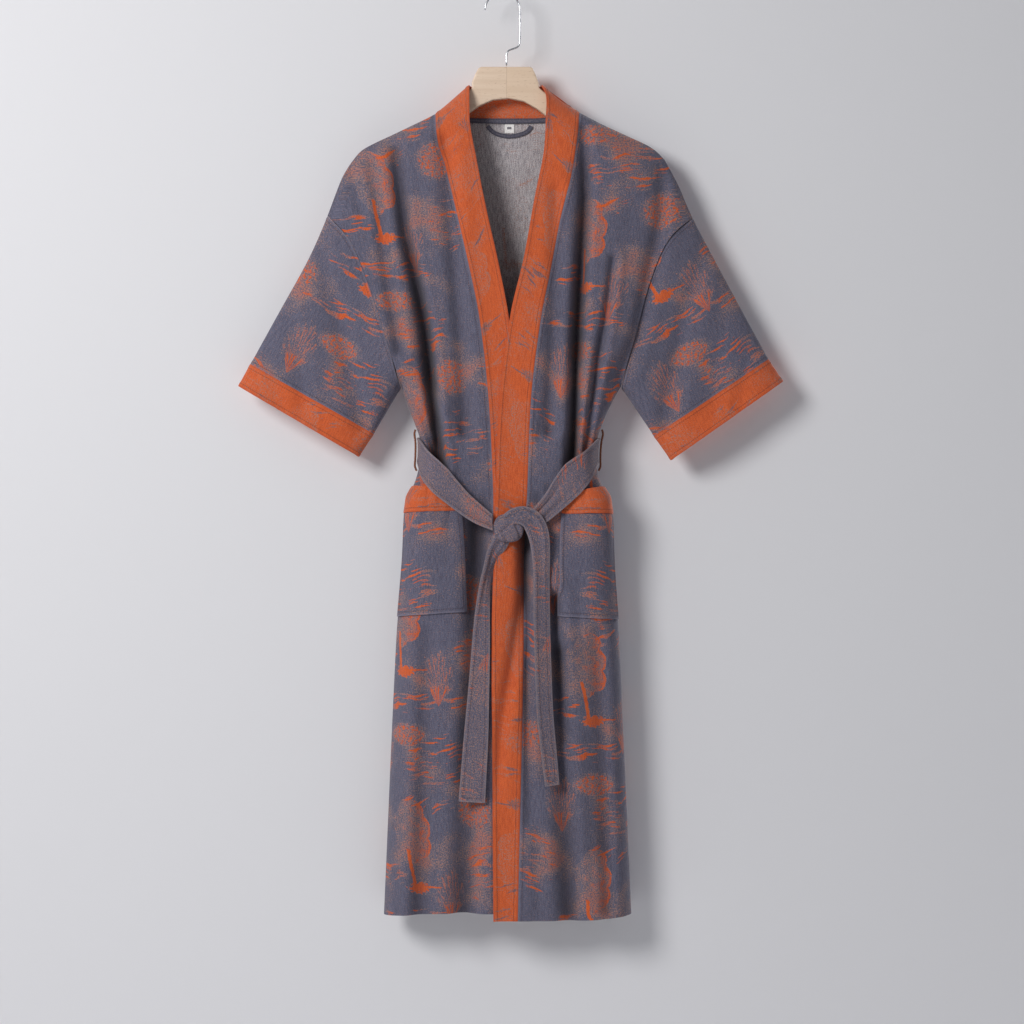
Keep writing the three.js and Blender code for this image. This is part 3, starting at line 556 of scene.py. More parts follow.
LEFT = {
    "ridge": [(57, -134), (69, -144), (87, -158), (111, -174)],
    "shoulder": [(111, -174), (143, -191), (180, -208), (214, -224), (232, -239), (242, -254),
                 (256, -281), (267, -307), (276, -327)],
    "sleeve_top": [(276, -327), (303, -378), (345, -456), (387, -534)],
    "sleeve_under": [(172, ARMPIT), (197, -608), (222, -645)],
    "cuff_end": [(408, -565), (246, -679)],
    "armhole": [(276, -327), (240, -362), (214, -422), (192, -500), (172, ARMPIT)],
    "side": [(172, ARMPIT), (153, -607), (143, -632), (137, -650), (135, -670), (136, -690),
             (143, -714), (156, -737), (162, -836), (169, -940), (187, -1340)],
    "seam": [(111, -174), (108, -210), (99, -268), (82, -340), (65, -424), (55, -476), (41, -592),
             (35, -737), (30, -824), (30, -940), (22, -1342)],
    "free": [(57, -134), (63, -150), (63, -179), (60, -234), (46, -304), (31, -388), (12, -469),
             (-4, -592), (-10, -737), (-12, -824), (-15, -940), (-13, -1342)],
    "hem": (-1339, -1344),
}
BACK_NECK = [(-97, -176), (-84, -180), (-63, -183), (-34, -184.5), (7, -185), (48, -184), (77, -182),
             (98, -179), (111, -174)]
BACK_BAND_TOP = [(-48, -134), (-30, -139), (5, -141), (38, -139), (57, -134)]
MIDDLE = 8


def along(points):
    """A smooth curve through points, as a function of shares of its length."""
    knots = np.array(points, float)
    ends = np.vstack([knots[:1], knots, knots[-1:]])
    t = np.linspace(0, 1, 24, endpoint=False)[:, None]
    rows = []
    for a, b, c, d in zip(ends[:-3], ends[1:-2], ends[2:-1], ends[3:]):
        rows.append(0.5 * (2 * b + (c - a) * t + (2 * a - 5 * b + 4 * c - d) * t ** 2
                           + (3 * b - a - 3 * c + d) * t ** 3))
    line = np.vstack([*rows, knots[-1:]])
    run = np.concatenate([[0], np.cumsum(np.linalg.norm(np.diff(line, axis=0), axis=1))])

    def at(share):
        where = np.clip(share, 0, 1) * run[-1]
        return np.stack([np.interp(where, run, line[:, 0]), np.interp(where, run, line[:, 1])], -1)
    return at


def reading(points):
    """The same kind of curve, read as the first value at a given second one."""
    first, second = np.array(points, float).T
    slopes = [(first[min(i + 1, len(first) - 1)] - first[max(i - 1, 0)])
              / (second[min(i + 1, len(first) - 1)] - second[max(i - 1, 0)]) for i in range(len(first))]
    slopes = np.array(slopes)
    falling = second[0] > second[-1]

    def at(value):
        value = np.asarray(value, float)
        order = np.searchsorted(-second if falling else second, -value if falling else value, "left")
        i = np.clip(order - 1, 0, len(first) - 2)
        span = second[i + 1] - second[i]
        t = (value - second[i]) / span
        inner = np.clip(t, 0, 1)
        t2, t3 = inner ** 2, inner ** 3
        curve = ((2 * t3 - 3 * t2 + 1) * first[i] + (t3 - 2 * t2 + inner) * span * slopes[i]
                 + (3 * t2 - 2 * t3) * first[i + 1] + (t3 - t2) * span * slopes[i + 1])
        past = np.where(t < 0, slopes[i] * (value - second[i]), slopes[i + 1] * (value - second[i + 1]))
        return curve + np.where((t < 0) | (t > 1), past, 0)
    return at


def mix(start, end, share):
    return start + (end - start) * share


def unit(vectors):
    return vectors / np.linalg.norm(vectors, axis=-1, keepdims=True)


def sideways_of(line):
    """Steps of length 1 to the side of a flat line of points."""
    forward = unit(np.gradient(line, axis=0))
    return np.stack([-forward[:, 1], forward[:, 0]], -1)


def smooth(start, end, value):
    t = np.clip((value - start) / (end - start), 0, 1)
    return t * t * (3 - 2 * t)


SIDE_STEPS = 600                      # close together, so that the side seams shut tightly
for outline in (RIGHT, LEFT):
    outline["side_at"] = reading(outline["side"])
    outline["seam_at"] = reading(outline["seam"])
    outline["free_at"] = reading(outline["free"])
    shares = np.linspace(0, 1, 101)
    sleeve_top = [*outline["sleeve_top"], outline["cuff_end"][0]]
    outline["top_line"] = np.vstack([along(outline["ridge"])(shares[::8]),
                                     along(outline["shoulder"])(shares), along(sleeve_top)(shares)])
    sleeve_under = [*outline["sleeve_under"], outline["cuff_end"][1]]
    down = np.linspace(ARMPIT, HEM - 20, SIDE_STEPS)
    outline["side_line"] = np.vstack([along(sleeve_under)(shares[::6])[::-1],
                                      np.stack([outline["side_at"](down), down], -1)])
print("outlines ready")

# %% [markdown]
# ## The hang of the cloth
# One rule says how far the front or the back stands off the middle plane: the depth of the body
# or of a sleeve, rounded off towards the shoulders and the side seams, less the folds. Every piece
# asks the same rule, so neighbours meet along their seams. A fold is a soft trough along a line
# with a low ridge beside it, and its depth changes evenly down the line. The deep ones were placed
# one by one: down from the armpits, where the belt pulls the cloth in, and long ones in the skirt.
# The gathers over and under the belt are many small folds, laid out by a loop.

# %% Folds and depth
SLEEVE_DEPTH = 22
BODY_DEPTH = [(26, -134), (28, -200), (32, -300), (36, -450), (38, -600), (36, -668), (40, -760),
              (44, -1000), (46, -1340)]
BACK_SHARE = 0.8
LAP = 3.6
SEAM = 0.4
FRONT_FOLDS = [
    # line, width, depth at its start and at its end
    ([(-156, -230), (-142, -350), (-124, -430), (-112, -491), (-105, -560), (-90, -690)], 9, 10, 33),
    ([(-144, -240), (-130, -360), (-114, -470), (-106, -560)], 22, 5, 9),
    ([(-118, -610), (-108, -650), (-96, -690)], 5, 6, 12),
    ([(-84, -215), (-70, -400), (-60, -520), (-54, -640)], 12, 8, 12),
    ([(-190, -250), (-178, -330), (-166, -420), (-150, -520)], 10, 7, 11),
    ([(-222, -262), (-214, -290), (-202, -330)], 9, 7, 4),
    ([(118, -200), (119, -300), (113, -400), (108, -500), (105, -580), (100, -700)], 9, 10, 34),
    ([(120, -260), (112, -400), (108, -520)], 22, 5, 9),
    ([(160, -390), (150, -470), (138, -537), (128, -600), (118, -690)], 7, 9, 20),
    ([(232, -262), (229, -330), (211, -420), (194, -500), (170, -556)], 12, 9, 12),
    ([(78, -290), (76, -420), (72, -520), (66, -640)], 11, 6, 11),
    ([(-36, -760), (-38, -860), (-42, -1000), (-50, -1130)], 16, 26, 5),
    ([(29, -780), (28, -880), (16, -960), (-1, -1060), (-9, -1165)], 9, 15, 4),
    ([(35, -760), (36, -900), (36, -1040), (38, -1200)], 8, 18, 5),
    ([(74, -880), (78, -980), (86, -1080)], 11, 19, 4),
    ([(118, -960), (124, -1100), (132, -1240)], 24, 10, 6),
    ([(-40, -1000), (-50, -1120), (-56, -1330)], 18, 4, 19),
    ([(-110, -930), (-122, -1330)], 16, 7, 16),
    ([(80, -960), (84, -1120), (96, -1335)], 17, 9, 19),
    ([(138, -930), (150, -1330)], 13, 7, 14),
    ([(-88, -1060), (-92, -1200), (-100, -1335)], 11, 2, 4),
    ([(-146, -1100), (-152, -1335)], 9, 2, 3.5),
    ([(52, -1020), (50, -1180), (54, -1335)], 12, 2, 4),
    ([(122, -1080), (128, -1335)], 9, 2, 3.5),
    ([(-320, -440), (-300, -530), (-292, -600)], 15, 3, 6),
    ([(-270, -370), (-240, -470), (-222, -560), (-205, -630)], 15, 5, 9),
    ([(-345, -500), (-330, -560), (-322, -610)], 12, 1.5, 3),
    ([(330, -440), (310, -530), (304, -600)], 16, 2, 4),
    ([(292, -380), (262, -470), (246, -560), (232, -630)], 15, 5, 9),
    ([(360, -500), (350, -560), (342, -600)], 12, 1.5, 3),
]
BACK_FOLDS = [
    ([(-120, -320), (-104, -440), (-96, -560), (-84, -690)], 10, 6, 20),
    ([(128, -320), (112, -440), (106, -560), (96, -690)], 10, 6, 20),
    ([(-30, -420), (-26, -540), (-22, -645)], 14, 2, 5),
    ([(48, -420), (44, -540), (40, -645)], 14, 2, 5),
    ([(-60, -720), (-70, -1000), (-84, -1325)], 18, 9, 16),
    ([(20, -720), (18, -1000), (14, -1325)], 20, 7, 14),
    ([(96, -720), (106, -1000), (118, -1325)], 18, 9, 16),
    ([(-118, -900), (-128, -1325)], 14, 2, 5),
    ([(62, -980), (66, -1325)], 12, 2, 4),
    ([(-20, -1000), (-28, -1325)], 13, 2, 4),
    ([(-190, -250), (-176, -330), (-150, -500)], 14, 3, 5),
    ([(200, -250), (186, -330), (166, -500)], 14, 3, 5),
    ([(-320, -440), (-296, -560)], 16, 2, 4),
    ([(-262, -370), (-222, -560)], 17, 3, 5),
    ([(330, -440), (306, -560)], 16, 2, 4),
    ([(284, -370), (240, -560)], 17, 3, 5),
]
RIDGE = 0.16                         # height of the ridge beside a fold, of its depth
RIDGE_OFF = 1.9                      # how far beside the fold it stands, and how wide it is, of the
RIDGE_WIDE = 0.9                     # fold's width
GATHER = 2.6                         # depth of one small gather at the belt
GATHERS = [(-104, -636), (-88, -628), (-74, -650), (-58, -640), (52, -652), (68, -640), (84, -632),
           (112, -626)]
GATHER_LEAN = 0.10
GATHER_WIDE = 6
FRONT_BELOW = 80                     # from a gather over the belt in front to the one under it
BACK_OVER = -640
BACK_UNDER = -690
for x, z in GATHERS:
    reach = 46 + 22 * math.sin(x)
    tip = x + GATHER_LEAN * (x - MIDDLE)
    FRONT_FOLDS.append(([(tip, z + reach), (x, z)], 5.5, 0, GATHER))
    FRONT_FOLDS.append(([(x, z - FRONT_BELOW), (tip, z - FRONT_BELOW - 25 - reach)], GATHER_WIDE, GATHER, 0))
    BACK_FOLDS.append(([(tip, BACK_OVER + reach), (x, BACK_OVER)], GATHER_WIDE, 0, GATHER))
    BACK_FOLDS.append(([(x, BACK_UNDER), (tip, BACK_UNDER - reach)], GATHER_WIDE, GATHER, 0))
BODY_EDGE = (130, 235)               # off the middle, where the body's depth gives way to the sleeve's
SLEEVE_ROUND = 66                    # how far in from an edge the cloth turns over: on a sleeve,
SHOULDER_ROUND = 40                  # at the shoulder of the body
SIDE_ROUND = 44                      # and at its side
depth_at = reading(BODY_DEPTH)


def to_line(line, x, z):
    """Distance to a line of points, and the side of it: 1 to the right looking down, or -1."""
    best = np.full(np.shape(x), np.inf)
    side = np.ones(np.shape(x))
    for (ax, az), (bx, bz) in zip(line[:-1], line[1:]):
        dx, dz = bx - ax, bz - az
        square = dx * dx + dz * dz
        if square == 0:
            continue
        t = np.clip(((x - ax) * dx + (z - az) * dz) / square, 0, 1)
        gap = np.hypot(x - ax - t * dx, z - az - t * dz)
        turn = np.sign(dx * (z - az) - dz * (x - ax))
        side = np.where(gap < best, turn, side)
        best = np.minimum(best, gap)
    return best, side


def fold_depth(folds, x, z):
    total = np.zeros(np.shape(x))
    for line, width, start, end in folds:
        gap, side = to_line(line, x, z)
        depth = mix(start, end, np.clip((z - line[0][1]) / (line[-1][1] - line[0][1]), 0, 1))
        total += depth * np.exp(-(gap / width) ** 2)
        total -= RIDGE * depth * np.exp(-((gap * side - RIDGE_OFF * width) / (RIDGE_WIDE * width)) ** 2)
    return total


def rounding(gap, reach):
    t = 1 - np.clip(gap / reach, 0, 1)
    return np.sqrt(1 - t * t)


def unevenness(face, x, z):
    """The slight waves of cloth that was folded and hung up again."""
    shift = 40 if face > 0 else 0
    return (0.7 * np.sin(x / 23 + shift) * np.sin(z / 61 + x / 90)
            + 0.4 * np.sin(x / 11 - z / 37 + shift) * np.sin(z / 29)
            + 0.25 * np.sin(x / 6.5 + z / 19) * np.sin(z / 17 - x / 13))


def lift(face, x, z, lap=0.0, folded=True):
    """Y of the middle of the cloth: face is -1 for the front, 1 for the back."""
    in_body = 1 - smooth(*BODY_EDGE, np.abs(x - MIDDLE))
    body = depth_at(z) * (BACK_SHARE if face > 0 else 1)
    folds = 0
    if folded:
        folds = fold_depth(BACK_FOLDS if face > 0 else FRONT_FOLDS, x, z) + unevenness(face, x, z)
    top = np.minimum(to_line(RIGHT["top_line"], x, z)[0], to_line(LEFT["top_line"], x, z)[0])
    side = np.minimum(to_line(RIGHT["side_line"], x, z)[0], to_line(LEFT["side_line"], x, z)[0])
    edges = (rounding(top, mix(SLEEVE_ROUND, SHOULDER_ROUND, in_body))
             * rounding(side, mix(SLEEVE_ROUND, SIDE_ROUND, in_body)))
    return face * (mix(SLEEVE_DEPTH, body, in_body) + lap - folds) * edges


def raised(face, flat, lap=0.0, folded=True):
    """Points of the flat outline, lifted to the front or the back."""
    x, z = flat[..., 0], flat[..., 1]
    return np.stack([x, lift(face, x, z, lap, folded), z], -1)


print("folds:", len(FRONT_FOLDS), "front,", len(BACK_FOLDS), "back")

# %% [markdown]
# ## From a grid to cloth
# A piece is a grid of points with three maps: Cloth, its place on the flat cloth in metres, Stitch,
# its distance from the nearest sewn edge, and FoldShade, how deep in a fold it lies, from 0 to 1,
# which sets how much shade is painted into its colour there. A Solidify modifier gives the wall,
# half to each side, with the inner face as its second material.
# Near a sewn edge the cloth is a little proud, because the seam allowance lies under it. The knot
# and the belt loops are closed tubes of rings instead, with a cap on each end.

# %% Cloth from grids
CLOTH = 1.5
DOUBLE = 2.3
BODY = "root"
# Between these fold depths the shade painted into the cloth's colour grows from 0 to 1.
FOLD_SHADE_DEPTHS = (1.5, 27)                    # depths of fold between which the crease goes from 0 to 1
PUFF_IN = 3.5                         # from a sewn edge to where the cloth stands most proud
PUFF_WIDE = 2.6


def pick(piece):
    """Puts a new object in the scene and selects it alone."""
    bpy.context.scene.collection.objects.link(piece)
    bpy.ops.object.select_all(action="DESELECT")
    bpy.context.view_layer.objects.active = piece
    piece.select_set(True)


def new_piece(name, points, faces, materials):
    """A selected mesh object, from points in millimetres."""
    mesh = bpy.data.meshes.new(name)
    mesh.from_pydata((points.reshape(-1, 3) * MM).tolist(), [], faces)
    for material in materials:
        mesh.materials.append(material)
    piece = bpy.data.objects.new(name, mesh)
    pick(piece)
    return piece


def add_map(piece, label, values):
    """A UV map, from two values for each corner of each face."""
    layer = piece.data.uv_layers.new(name=label)
    layer.data.foreach_set("uv", values.astype(np.float32).ravel())


def hand_over(piece, node):
    """A piece rides the robe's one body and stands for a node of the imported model."""
    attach(piece, BODY)
    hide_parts(node)


def closed_piece(name, rings, material):
    """A closed tube from rings of points, capped, with its faces turned outwards."""
    rows, cols = rings.shape[:2]
    faces = [[i * cols + j, (i + 1) * cols + j, (i + 1) * cols + (j + 1) % cols, i * cols + (j + 1) % cols]
             for i in range(rows - 1) for j in range(cols)]
    caps = [list(range(cols))[::-1], [(rows - 1) * cols + k for k in range(cols)]]
    piece = new_piece(name, rings, faces + caps, [material])
    bpy.ops.object.mode_set(mode="EDIT")
    bpy.ops.mesh.select_all(action="SELECT")
    bpy.ops.mesh.normals_make_consistent(inside=False)
    bpy.ops.object.mode_set(mode="OBJECT")
    return piece


def lengths(grid, axis):
    """Length run along the rows (axis 1) or the columns (axis 0) of a grid, from its start."""
    run = np.cumsum(np.linalg.norm(np.diff(grid, axis=axis), axis=-1), axis=axis)
    first = np.zeros((1, grid.shape[1]) if axis == 0 else (grid.shape[0], 1))
    return np.concatenate([first, run], axis=axis)


def normals_of(grid):
    """Normals that point away from the middle of the robe."""
    down = np.gradient(grid, axis=0)
    over = np.gradient(grid, axis=1)
    n = np.cross(down, over)
    n /= np.maximum(np.linalg.norm(n, axis=-1, keepdims=True), 1e-9)
    away = (n[..., 0] * (grid[..., 0] - MIDDLE) + n[..., 1] * grid[..., 1]).sum()
    return n if away >= 0 else -n


def stitch_map(grid, edges):
    """Distance from the nearest of the named edges, and length along it, in metres."""
    across, down = lengths(grid, 1), lengths(grid, 0)
    choices = {
        "start": (across, down), "end": (across[:, -1:] - across, down),
        "top": (down, across), "foot": (down[-1:] - down, across),
    }
    gap = np.full(grid.shape[:2], 1000.0)
    run = np.zeros(grid.shape[:2])
    for name in edges:
        near, length = choices[name]
        run = np.where(near < gap, length, run)
        gap = np.minimum(gap, near)
    return np.stack([gap, run], -1) * MM


def fold_shade_map(grid):
    """How deep in a fold each point lies, from 0 to 1: the share of shade painted into its colour."""
    x, z = grid[..., 0], grid[..., 2]
    depth = np.where(grid[..., 1] < 0, fold_depth(FRONT_FOLDS, x, z), fold_depth(BACK_FOLDS, x, z))
    hollow = smooth(*FOLD_SHADE_DEPTHS, depth)
    return np.stack([hollow, 0 * hollow], -1)


def cloth(node, grid, flat, wall, materials, edges=(), outward=True, ring=False, proud=0.5,
          folded=True):
    """A cloth piece from a grid of points in millimetres and its place on the flat cloth.
    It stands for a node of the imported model."""
    stitch = stitch_map(grid, edges)
    # How much shade is painted into the colour of each point, from the depth of its fold.
    fold_shade = fold_shade_map(grid) * folded
    normals = normals_of(grid)
    if edges:
        puff = proud * np.exp(-((stitch[..., 0] / MM - PUFF_IN) / PUFF_WIDE) ** 2)
        grid = grid + normals * puff[..., None]
    rows, cols = grid.shape[:2]
    across = cols - 1 if ring else cols
    i, j = np.meshgrid(np.arange(rows - 1), np.arange(cols - 1), indexing="ij")
    i, j = i.ravel(), j.ravel()
    corners = [(i, j), (i + 1, j), (i + 1, j + 1), (i, j + 1)]
    quads = np.stack([a * across + b % across for a, b in corners], -1)
    spots = np.stack([a * cols + b for a, b in corners], -1)
    a, b, c = (grid[corners[k]] for k in (0, 1, 2))
    facing = (np.cross(b - a, c - a) * normals[corners[0]]).sum()
    if (facing > 0) != outward:
        quads, spots = quads[:, ::-1], spots[:, ::-1]
    piece = new_piece(f"{node}_cloth", grid[:, :across], quads.tolist(), materials)
    for label, values in (("Cloth", flat), ("Stitch", stitch), ("FoldShade", fold_shade)):
        add_map(piece, label, values.reshape(-1, 2)[spots.ravel()])
    shell = piece.modifiers.new("wall", "SOLIDIFY")
    shell.thickness = wall * MM
    shell.offset = 0
    shell.material_offset = len(materials) - 1
    bpy.ops.object.modifier_apply(modifier=shell.name)
    bpy.ops.object.shade_smooth_by_angle(angle=math.radians(55))
    hand_over(piece, node)
    area = 0.5 * np.linalg.norm(np.cross(grid[1:, 1:] - grid[:-1, :-1], grid[1:, :-1] - grid[:-1, 1:]),
                                axis=-1).sum() * MM * MM
    return piece


def spread(count, power=1.5):
    """Shares from 0 to 1 that start close together."""
    return np.linspace(0, 1, count) ** power


print("cloth helper ready")

# %% [markdown]
# ## Panels
# The two fronts run from the shoulder and armhole to the seam of the band. The upper part is a
# patch between four curves, and the lower part runs from the side seam to the band, level by
# level. The flat cloth is measured from the band's seam outwards, round the turn of the side, so
# that the woven picture isn't squeezed there. Each panel has its own place in the repeat, because
# the pieces were cut without matching.

# %% Front panels
PANEL_COLUMNS = 78
YOKE_ROWS = 100
YOKE_CROWD = 1.4                      # how closely its rows crowd at the shoulder
BODY_ROWS = 190
DRIFT_RIGHT = 0.06                    # the right front was cut a little off the grain


def patch(top, foot, start, end, s, t):
    """A grid between four curves, each a function of a share along it."""
    across, down = s[None, :, None], t[:, None, None]
    corners = [f(np.array([k])) for f in (top, foot) for k in (0.0, 1.0)]
    return ((1 - down) * top(s)[None] + down * foot(s)[None]
            + (1 - across) * start(t)[:, None] + across * end(t)[:, None]
            - (1 - across) * (1 - down) * corners[0] - across * (1 - down) * corners[1]
            - (1 - across) * down * corners[2] - across * down * corners[3])


def clear_of_middle(grid, face):
    """Keeps a face half a seam's gap off the middle plane."""
    grid[..., 1] = face * np.maximum(face * grid[..., 1], SEAM / 2)
    return grid


def inward_of(outline):
    return float(np.sign(MIDDLE - outline["side"][0][0]))


def flat_lengths(grid):
    """Length run along the rows, leaving out rise and fall."""
    return lengths(grid * (1, 1, 0), 1)


def front_flat(outline):
    """The outline grid of a front panel."""
    inward = inward_of(outline)
    seam_x = lambda z: outline["seam_at"](z) - inward * SEAM / 2
    shoulder = along(outline["shoulder"])
    seam_top = outline["shoulder"][0][1]
    s = spread(PANEL_COLUMNS)
    yoke = patch(
        lambda a: shoulder(1 - a),
        lambda a: np.stack([mix(outline["side_at"](ARMPIT), seam_x(ARMPIT), a), 0 * a + ARMPIT], -1),
        along(outline["armhole"]),
        lambda b: np.stack([seam_x(mix(seam_top, ARMPIT, b)), mix(seam_top, ARMPIT, b)], -1),
        s, spread(YOKE_ROWS, YOKE_CROWD))
    hem = mix(outline["hem"][0], outline["hem"][1], np.minimum(s * 2, 1))
    z = mix(ARMPIT, hem[None, :], np.linspace(0, 1, BODY_ROWS)[1:, None])
    body = np.stack([mix(outline["side_at"](z), seam_x(z), s[None, :]), z], -1)
    return np.concatenate([yoke, body])


def front_panel(node, outline, lap, origin, drift):
    """A front whose cloth was cut with the middle of its repeat at the origin."""
    grid = clear_of_middle(raised(-1, front_flat(outline), lap), -1)
    run = flat_lengths(grid)
    u = grid[:, -1:, 0] - inward_of(outline) * (run[:, -1:] - run)
    v = grid[..., 2] - origin[1]
    flat = np.stack([u - origin[0] + drift * v, v], -1) * MM
    cloth(node, grid, flat, CLOTH, [toile_cotton, toile_inside], ["end", "top"])


front_panel("front_under", RIGHT, 0.0, (-144, -1216), DRIFT_RIGHT)
front_panel("front_over", LEFT, LAP, (141, -1288), 0.0)

# %% [markdown]
# The back is one panel from side seam to side seam, with both shoulders and the neck cut into its
# top. Its columns stand close together at the sides, where the cloth turns round the edge.

# %% Back panel
BACK_COLUMNS = 52
BACK_PLACE = -1250                    # where the repeat's middle stands on the back
NECK_FROM = 0.33
NECK_SHARES = [0.33, 0.35, 0.385, 0.43, 0.5, 0.57, 0.615, 0.65, 0.67]


def back_neck(share):
    """The back neck seam, in straight runs between its points."""
    knots = np.array(BACK_NECK, float)
    where = np.clip(share, 0, 1) * (len(knots) - 1)
    places = np.arange(len(knots))
    return np.stack([np.interp(where, places, knots[:, 0]), np.interp(where, places, knots[:, 1])], -1)


def back_top(s):
    right = along(RIGHT["shoulder"])(1 - s / NECK_FROM)
    left = along(LEFT["shoulder"])((s - 1 + NECK_FROM) / NECK_FROM)
    neck = back_neck(np.interp(s, NECK_SHARES, np.linspace(0, 1, len(NECK_SHARES)))) - (0, SEAM / 2)
    s = s[:, None]
    return np.where(s <= NECK_FROM, right, np.where(s >= 1 - NECK_FROM, left, neck))


def back_flat():
    half = spread(BACK_COLUMNS) / 2
    half[np.argmin(np.abs(half - NECK_FROM))] = NECK_FROM
    s = np.concatenate([half, 1 - half[-2::-1]])
    sides = RIGHT["side_at"], LEFT["side_at"]
    yoke = patch(
        back_top,
        lambda a: np.stack([mix(sides[0](ARMPIT), sides[1](ARMPIT), a), 0 * a + ARMPIT], -1),
        along(RIGHT["armhole"]), along(LEFT["armhole"]), s, spread(YOKE_ROWS, YOKE_CROWD))
    z = np.linspace(ARMPIT, HEM, BODY_ROWS)[1:, None] + 0 * s[None, :]
    body = np.stack([mix(sides[0](z), sides[1](z), s[None, :]), z], -1)
    return np.concatenate([yoke, body])


grid = clear_of_middle(raised(1, back_flat()), 1)
run = flat_lengths(grid)
flat = np.stack([run - run[:, BACK_COLUMNS - 1:BACK_COLUMNS], grid[..., 2] - BACK_PLACE], -1) * MM
cloth("back_panel", grid, flat, CLOTH, [toile_cotton, toile_inside], ["top"])

# %% [markdown]
# ## Sleeves and cuffs
# A sleeve is one piece, folded over the arm and sewn under it. So its grid is a ring that starts
# at the under seam, goes up the front, over the top and down the back. The cloth was cut square to
# the arm, so the woven trees lean with the sleeve. A cuff is a doubled strip of the reversed cloth.

# %% Sleeves and cuffs
SLEEVE_RING = 64
SLEEVE_ROWS = 76
CUFF_ROWS = 16
CUFF_OVER = -0.03                     # the cuff reaches back over the end of the sleeve
ARMPIT_GAP = 0.036
SLEEVE_LEAN = math.radians(27)
SLEEVE_TREE = {"right": (-293, -513), "left": (236, -570)}     # where a fan tree stands
FAN_PLACE = (-51, 116)


def ring(front):
    """Lifts an outline grid to the front, and back up the other side."""
    face = raised(-1, front[:, ::-1])
    behind = raised(1, front[:, 1:])
    face[:, (0, -1), 1] = 0
    behind[:, -1, 1] = 0
    return np.concatenate([face, behind], axis=1)


def leaning(front, outline, tree_at):
    """Places on the flat cloth for a ring whose cloth leans with the sleeve."""
    turn = SLEEVE_LEAN * inward_of(outline)
    cosine, sine = math.cos(turn), math.sin(turn)
    u = front[..., 0] * cosine - front[..., 1] * sine
    v = front[..., 0] * sine + front[..., 1] * cosine
    u = u - (tree_at[0] * cosine - tree_at[1] * sine) + FAN_PLACE[0]
    v = v - (tree_at[0] * sine + tree_at[1] * cosine) + FAN_PLACE[1]
    behind = 2 * u[:, :1] - u[:, 1:]
    return np.stack([np.concatenate([u[:, ::-1], behind], 1),
                     np.concatenate([v[:, ::-1], v[:, 1:]], 1)], -1) * MM


def sleeve_and_cuff(side, outline):
    cuff_ends = [np.array(outline[key][-1], float) for key in ("sleeve_top", "sleeve_under")]
    w = 0.5 - 0.5 * np.cos(np.linspace(0, math.pi, SLEEVE_RING))
    share = np.linspace(0.004, 0.998, SLEEVE_ROWS)
    front = patch(along(outline["armhole"]), lambda a: mix(cuff_ends[0], cuff_ends[1], a[:, None]),
                  along(outline["sleeve_top"]), along(outline["sleeve_under"]), w, share)
    inset = ARMPIT_GAP * smooth(0.8, 1, w)[None, :] * np.clip(1 - share / 0.12, 0, 1)[:, None]
    next_row = np.concatenate([front[1:] - front[:-1], front[-1:] - front[-2:-1]])
    front = front + next_row * (inset * (SLEEVE_ROWS - 1))[..., None]
    tree_at = SLEEVE_TREE[side]
    cloth(f"sleeve_{side}", ring(front), leaning(front, outline, tree_at), CLOTH,
          [toile_cotton, toile_inside], ["top", "foot"], ring=True)
    ends = [np.array(p, float) for p in outline["cuff_end"]]
    u = np.linspace(CUFF_OVER, 1, CUFF_ROWS)[:, None]
    rims = [mix(cuff_ends[k], ends[k], u) for k in (0, 1)]
    front = mix(rims[0][:, None], rims[1][:, None], w[None, :, None])
    cloth(f"cuff_{side}", ring(front), leaning(front, outline, tree_at), DOUBLE,
          [contrast_cotton, contrast_inside], ["top", "foot"], ring=True)


sleeve_and_cuff("right", RIGHT)
sleeve_and_cuff("left", LEFT)

# %% [markdown]
# ## The collar band
# The band is one long doubled strip: up the right front, round the back of the neck and down the
# left front, which lies over the right. Its rows run from the seam to the free edge. Over the
# shoulder the rows crowd together, where the strip turns from the front to the back.

# %% Collar band
BAND_COLUMNS = 17
BAND_ROWS = 290
BACK_BAND_ROWS = 60
RIDGE_SHARE = 0.975
RIDGE_GAP = 1.6
BACK_TURN = 0.16                      # part of the half turn left out at each shoulder


def band_rows(face, seam, free, lap):
    s = np.linspace(0, 1, BAND_COLUMNS)[None, :, None]
    return raised(face, mix(seam[:, None], free[:, None], s), lap)


def band_front(outline, lap):
    inward = inward_of(outline)
    top, foot = outline["seam"][0][1], outline["hem"][1]
    t = spread(BAND_ROWS, 1.35)[1:]
    z = mix(top, foot, t)
    free_z = mix(outline["free"][0][1], foot, t)
    seam = np.stack([outline["seam_at"](z) + inward * SEAM / 2, z], -1)
    return band_rows(-1, seam, np.stack([outline["free_at"](free_z), free_z], -1), lap)


def band_ridge(outline):
    flat = along(outline["ridge"])(RIDGE_SHARE * (1 - np.linspace(0, 1, BAND_COLUMNS)))
    return np.stack([flat[:, 0], 0 * flat[:, 0], flat[:, 1]], -1)[None]


share = 0.5 - 0.5 * np.cos(np.linspace(BACK_TURN, math.pi - BACK_TURN, BACK_BAND_ROWS))
lean = (smooth(0.2, 0, share) - smooth(0.8, 1, share)) * RIDGE_GAP
seam_line = back_neck(share) + np.stack([lean, 0 * lean + SEAM], -1)
behind = band_rows(1, seam_line, along(BACK_BAND_TOP)(share), 0)
grid = np.concatenate([band_front(RIGHT, 0.0)[::-1], band_ridge(RIGHT), behind, band_ridge(LEFT),
                       band_front(LEFT, LAP)])
down_middle = lengths(grid, 0)[:, BAND_COLUMNS // 2, None]
flat = np.stack([lengths(grid, 1), 0 * grid[..., 0] + down_middle], -1) * MM
cloth("collar_band", grid, flat, DOUBLE, [contrast_cotton, contrast_inside],
      ["start", "end"], proud=0.9)

# %% [markdown]
# ## Pockets
# A patch pocket lies on its front panel and takes its points from it, moved out. Its mouth gapes a
# little, more towards the side seam. The top is a strip of the reversed cloth.

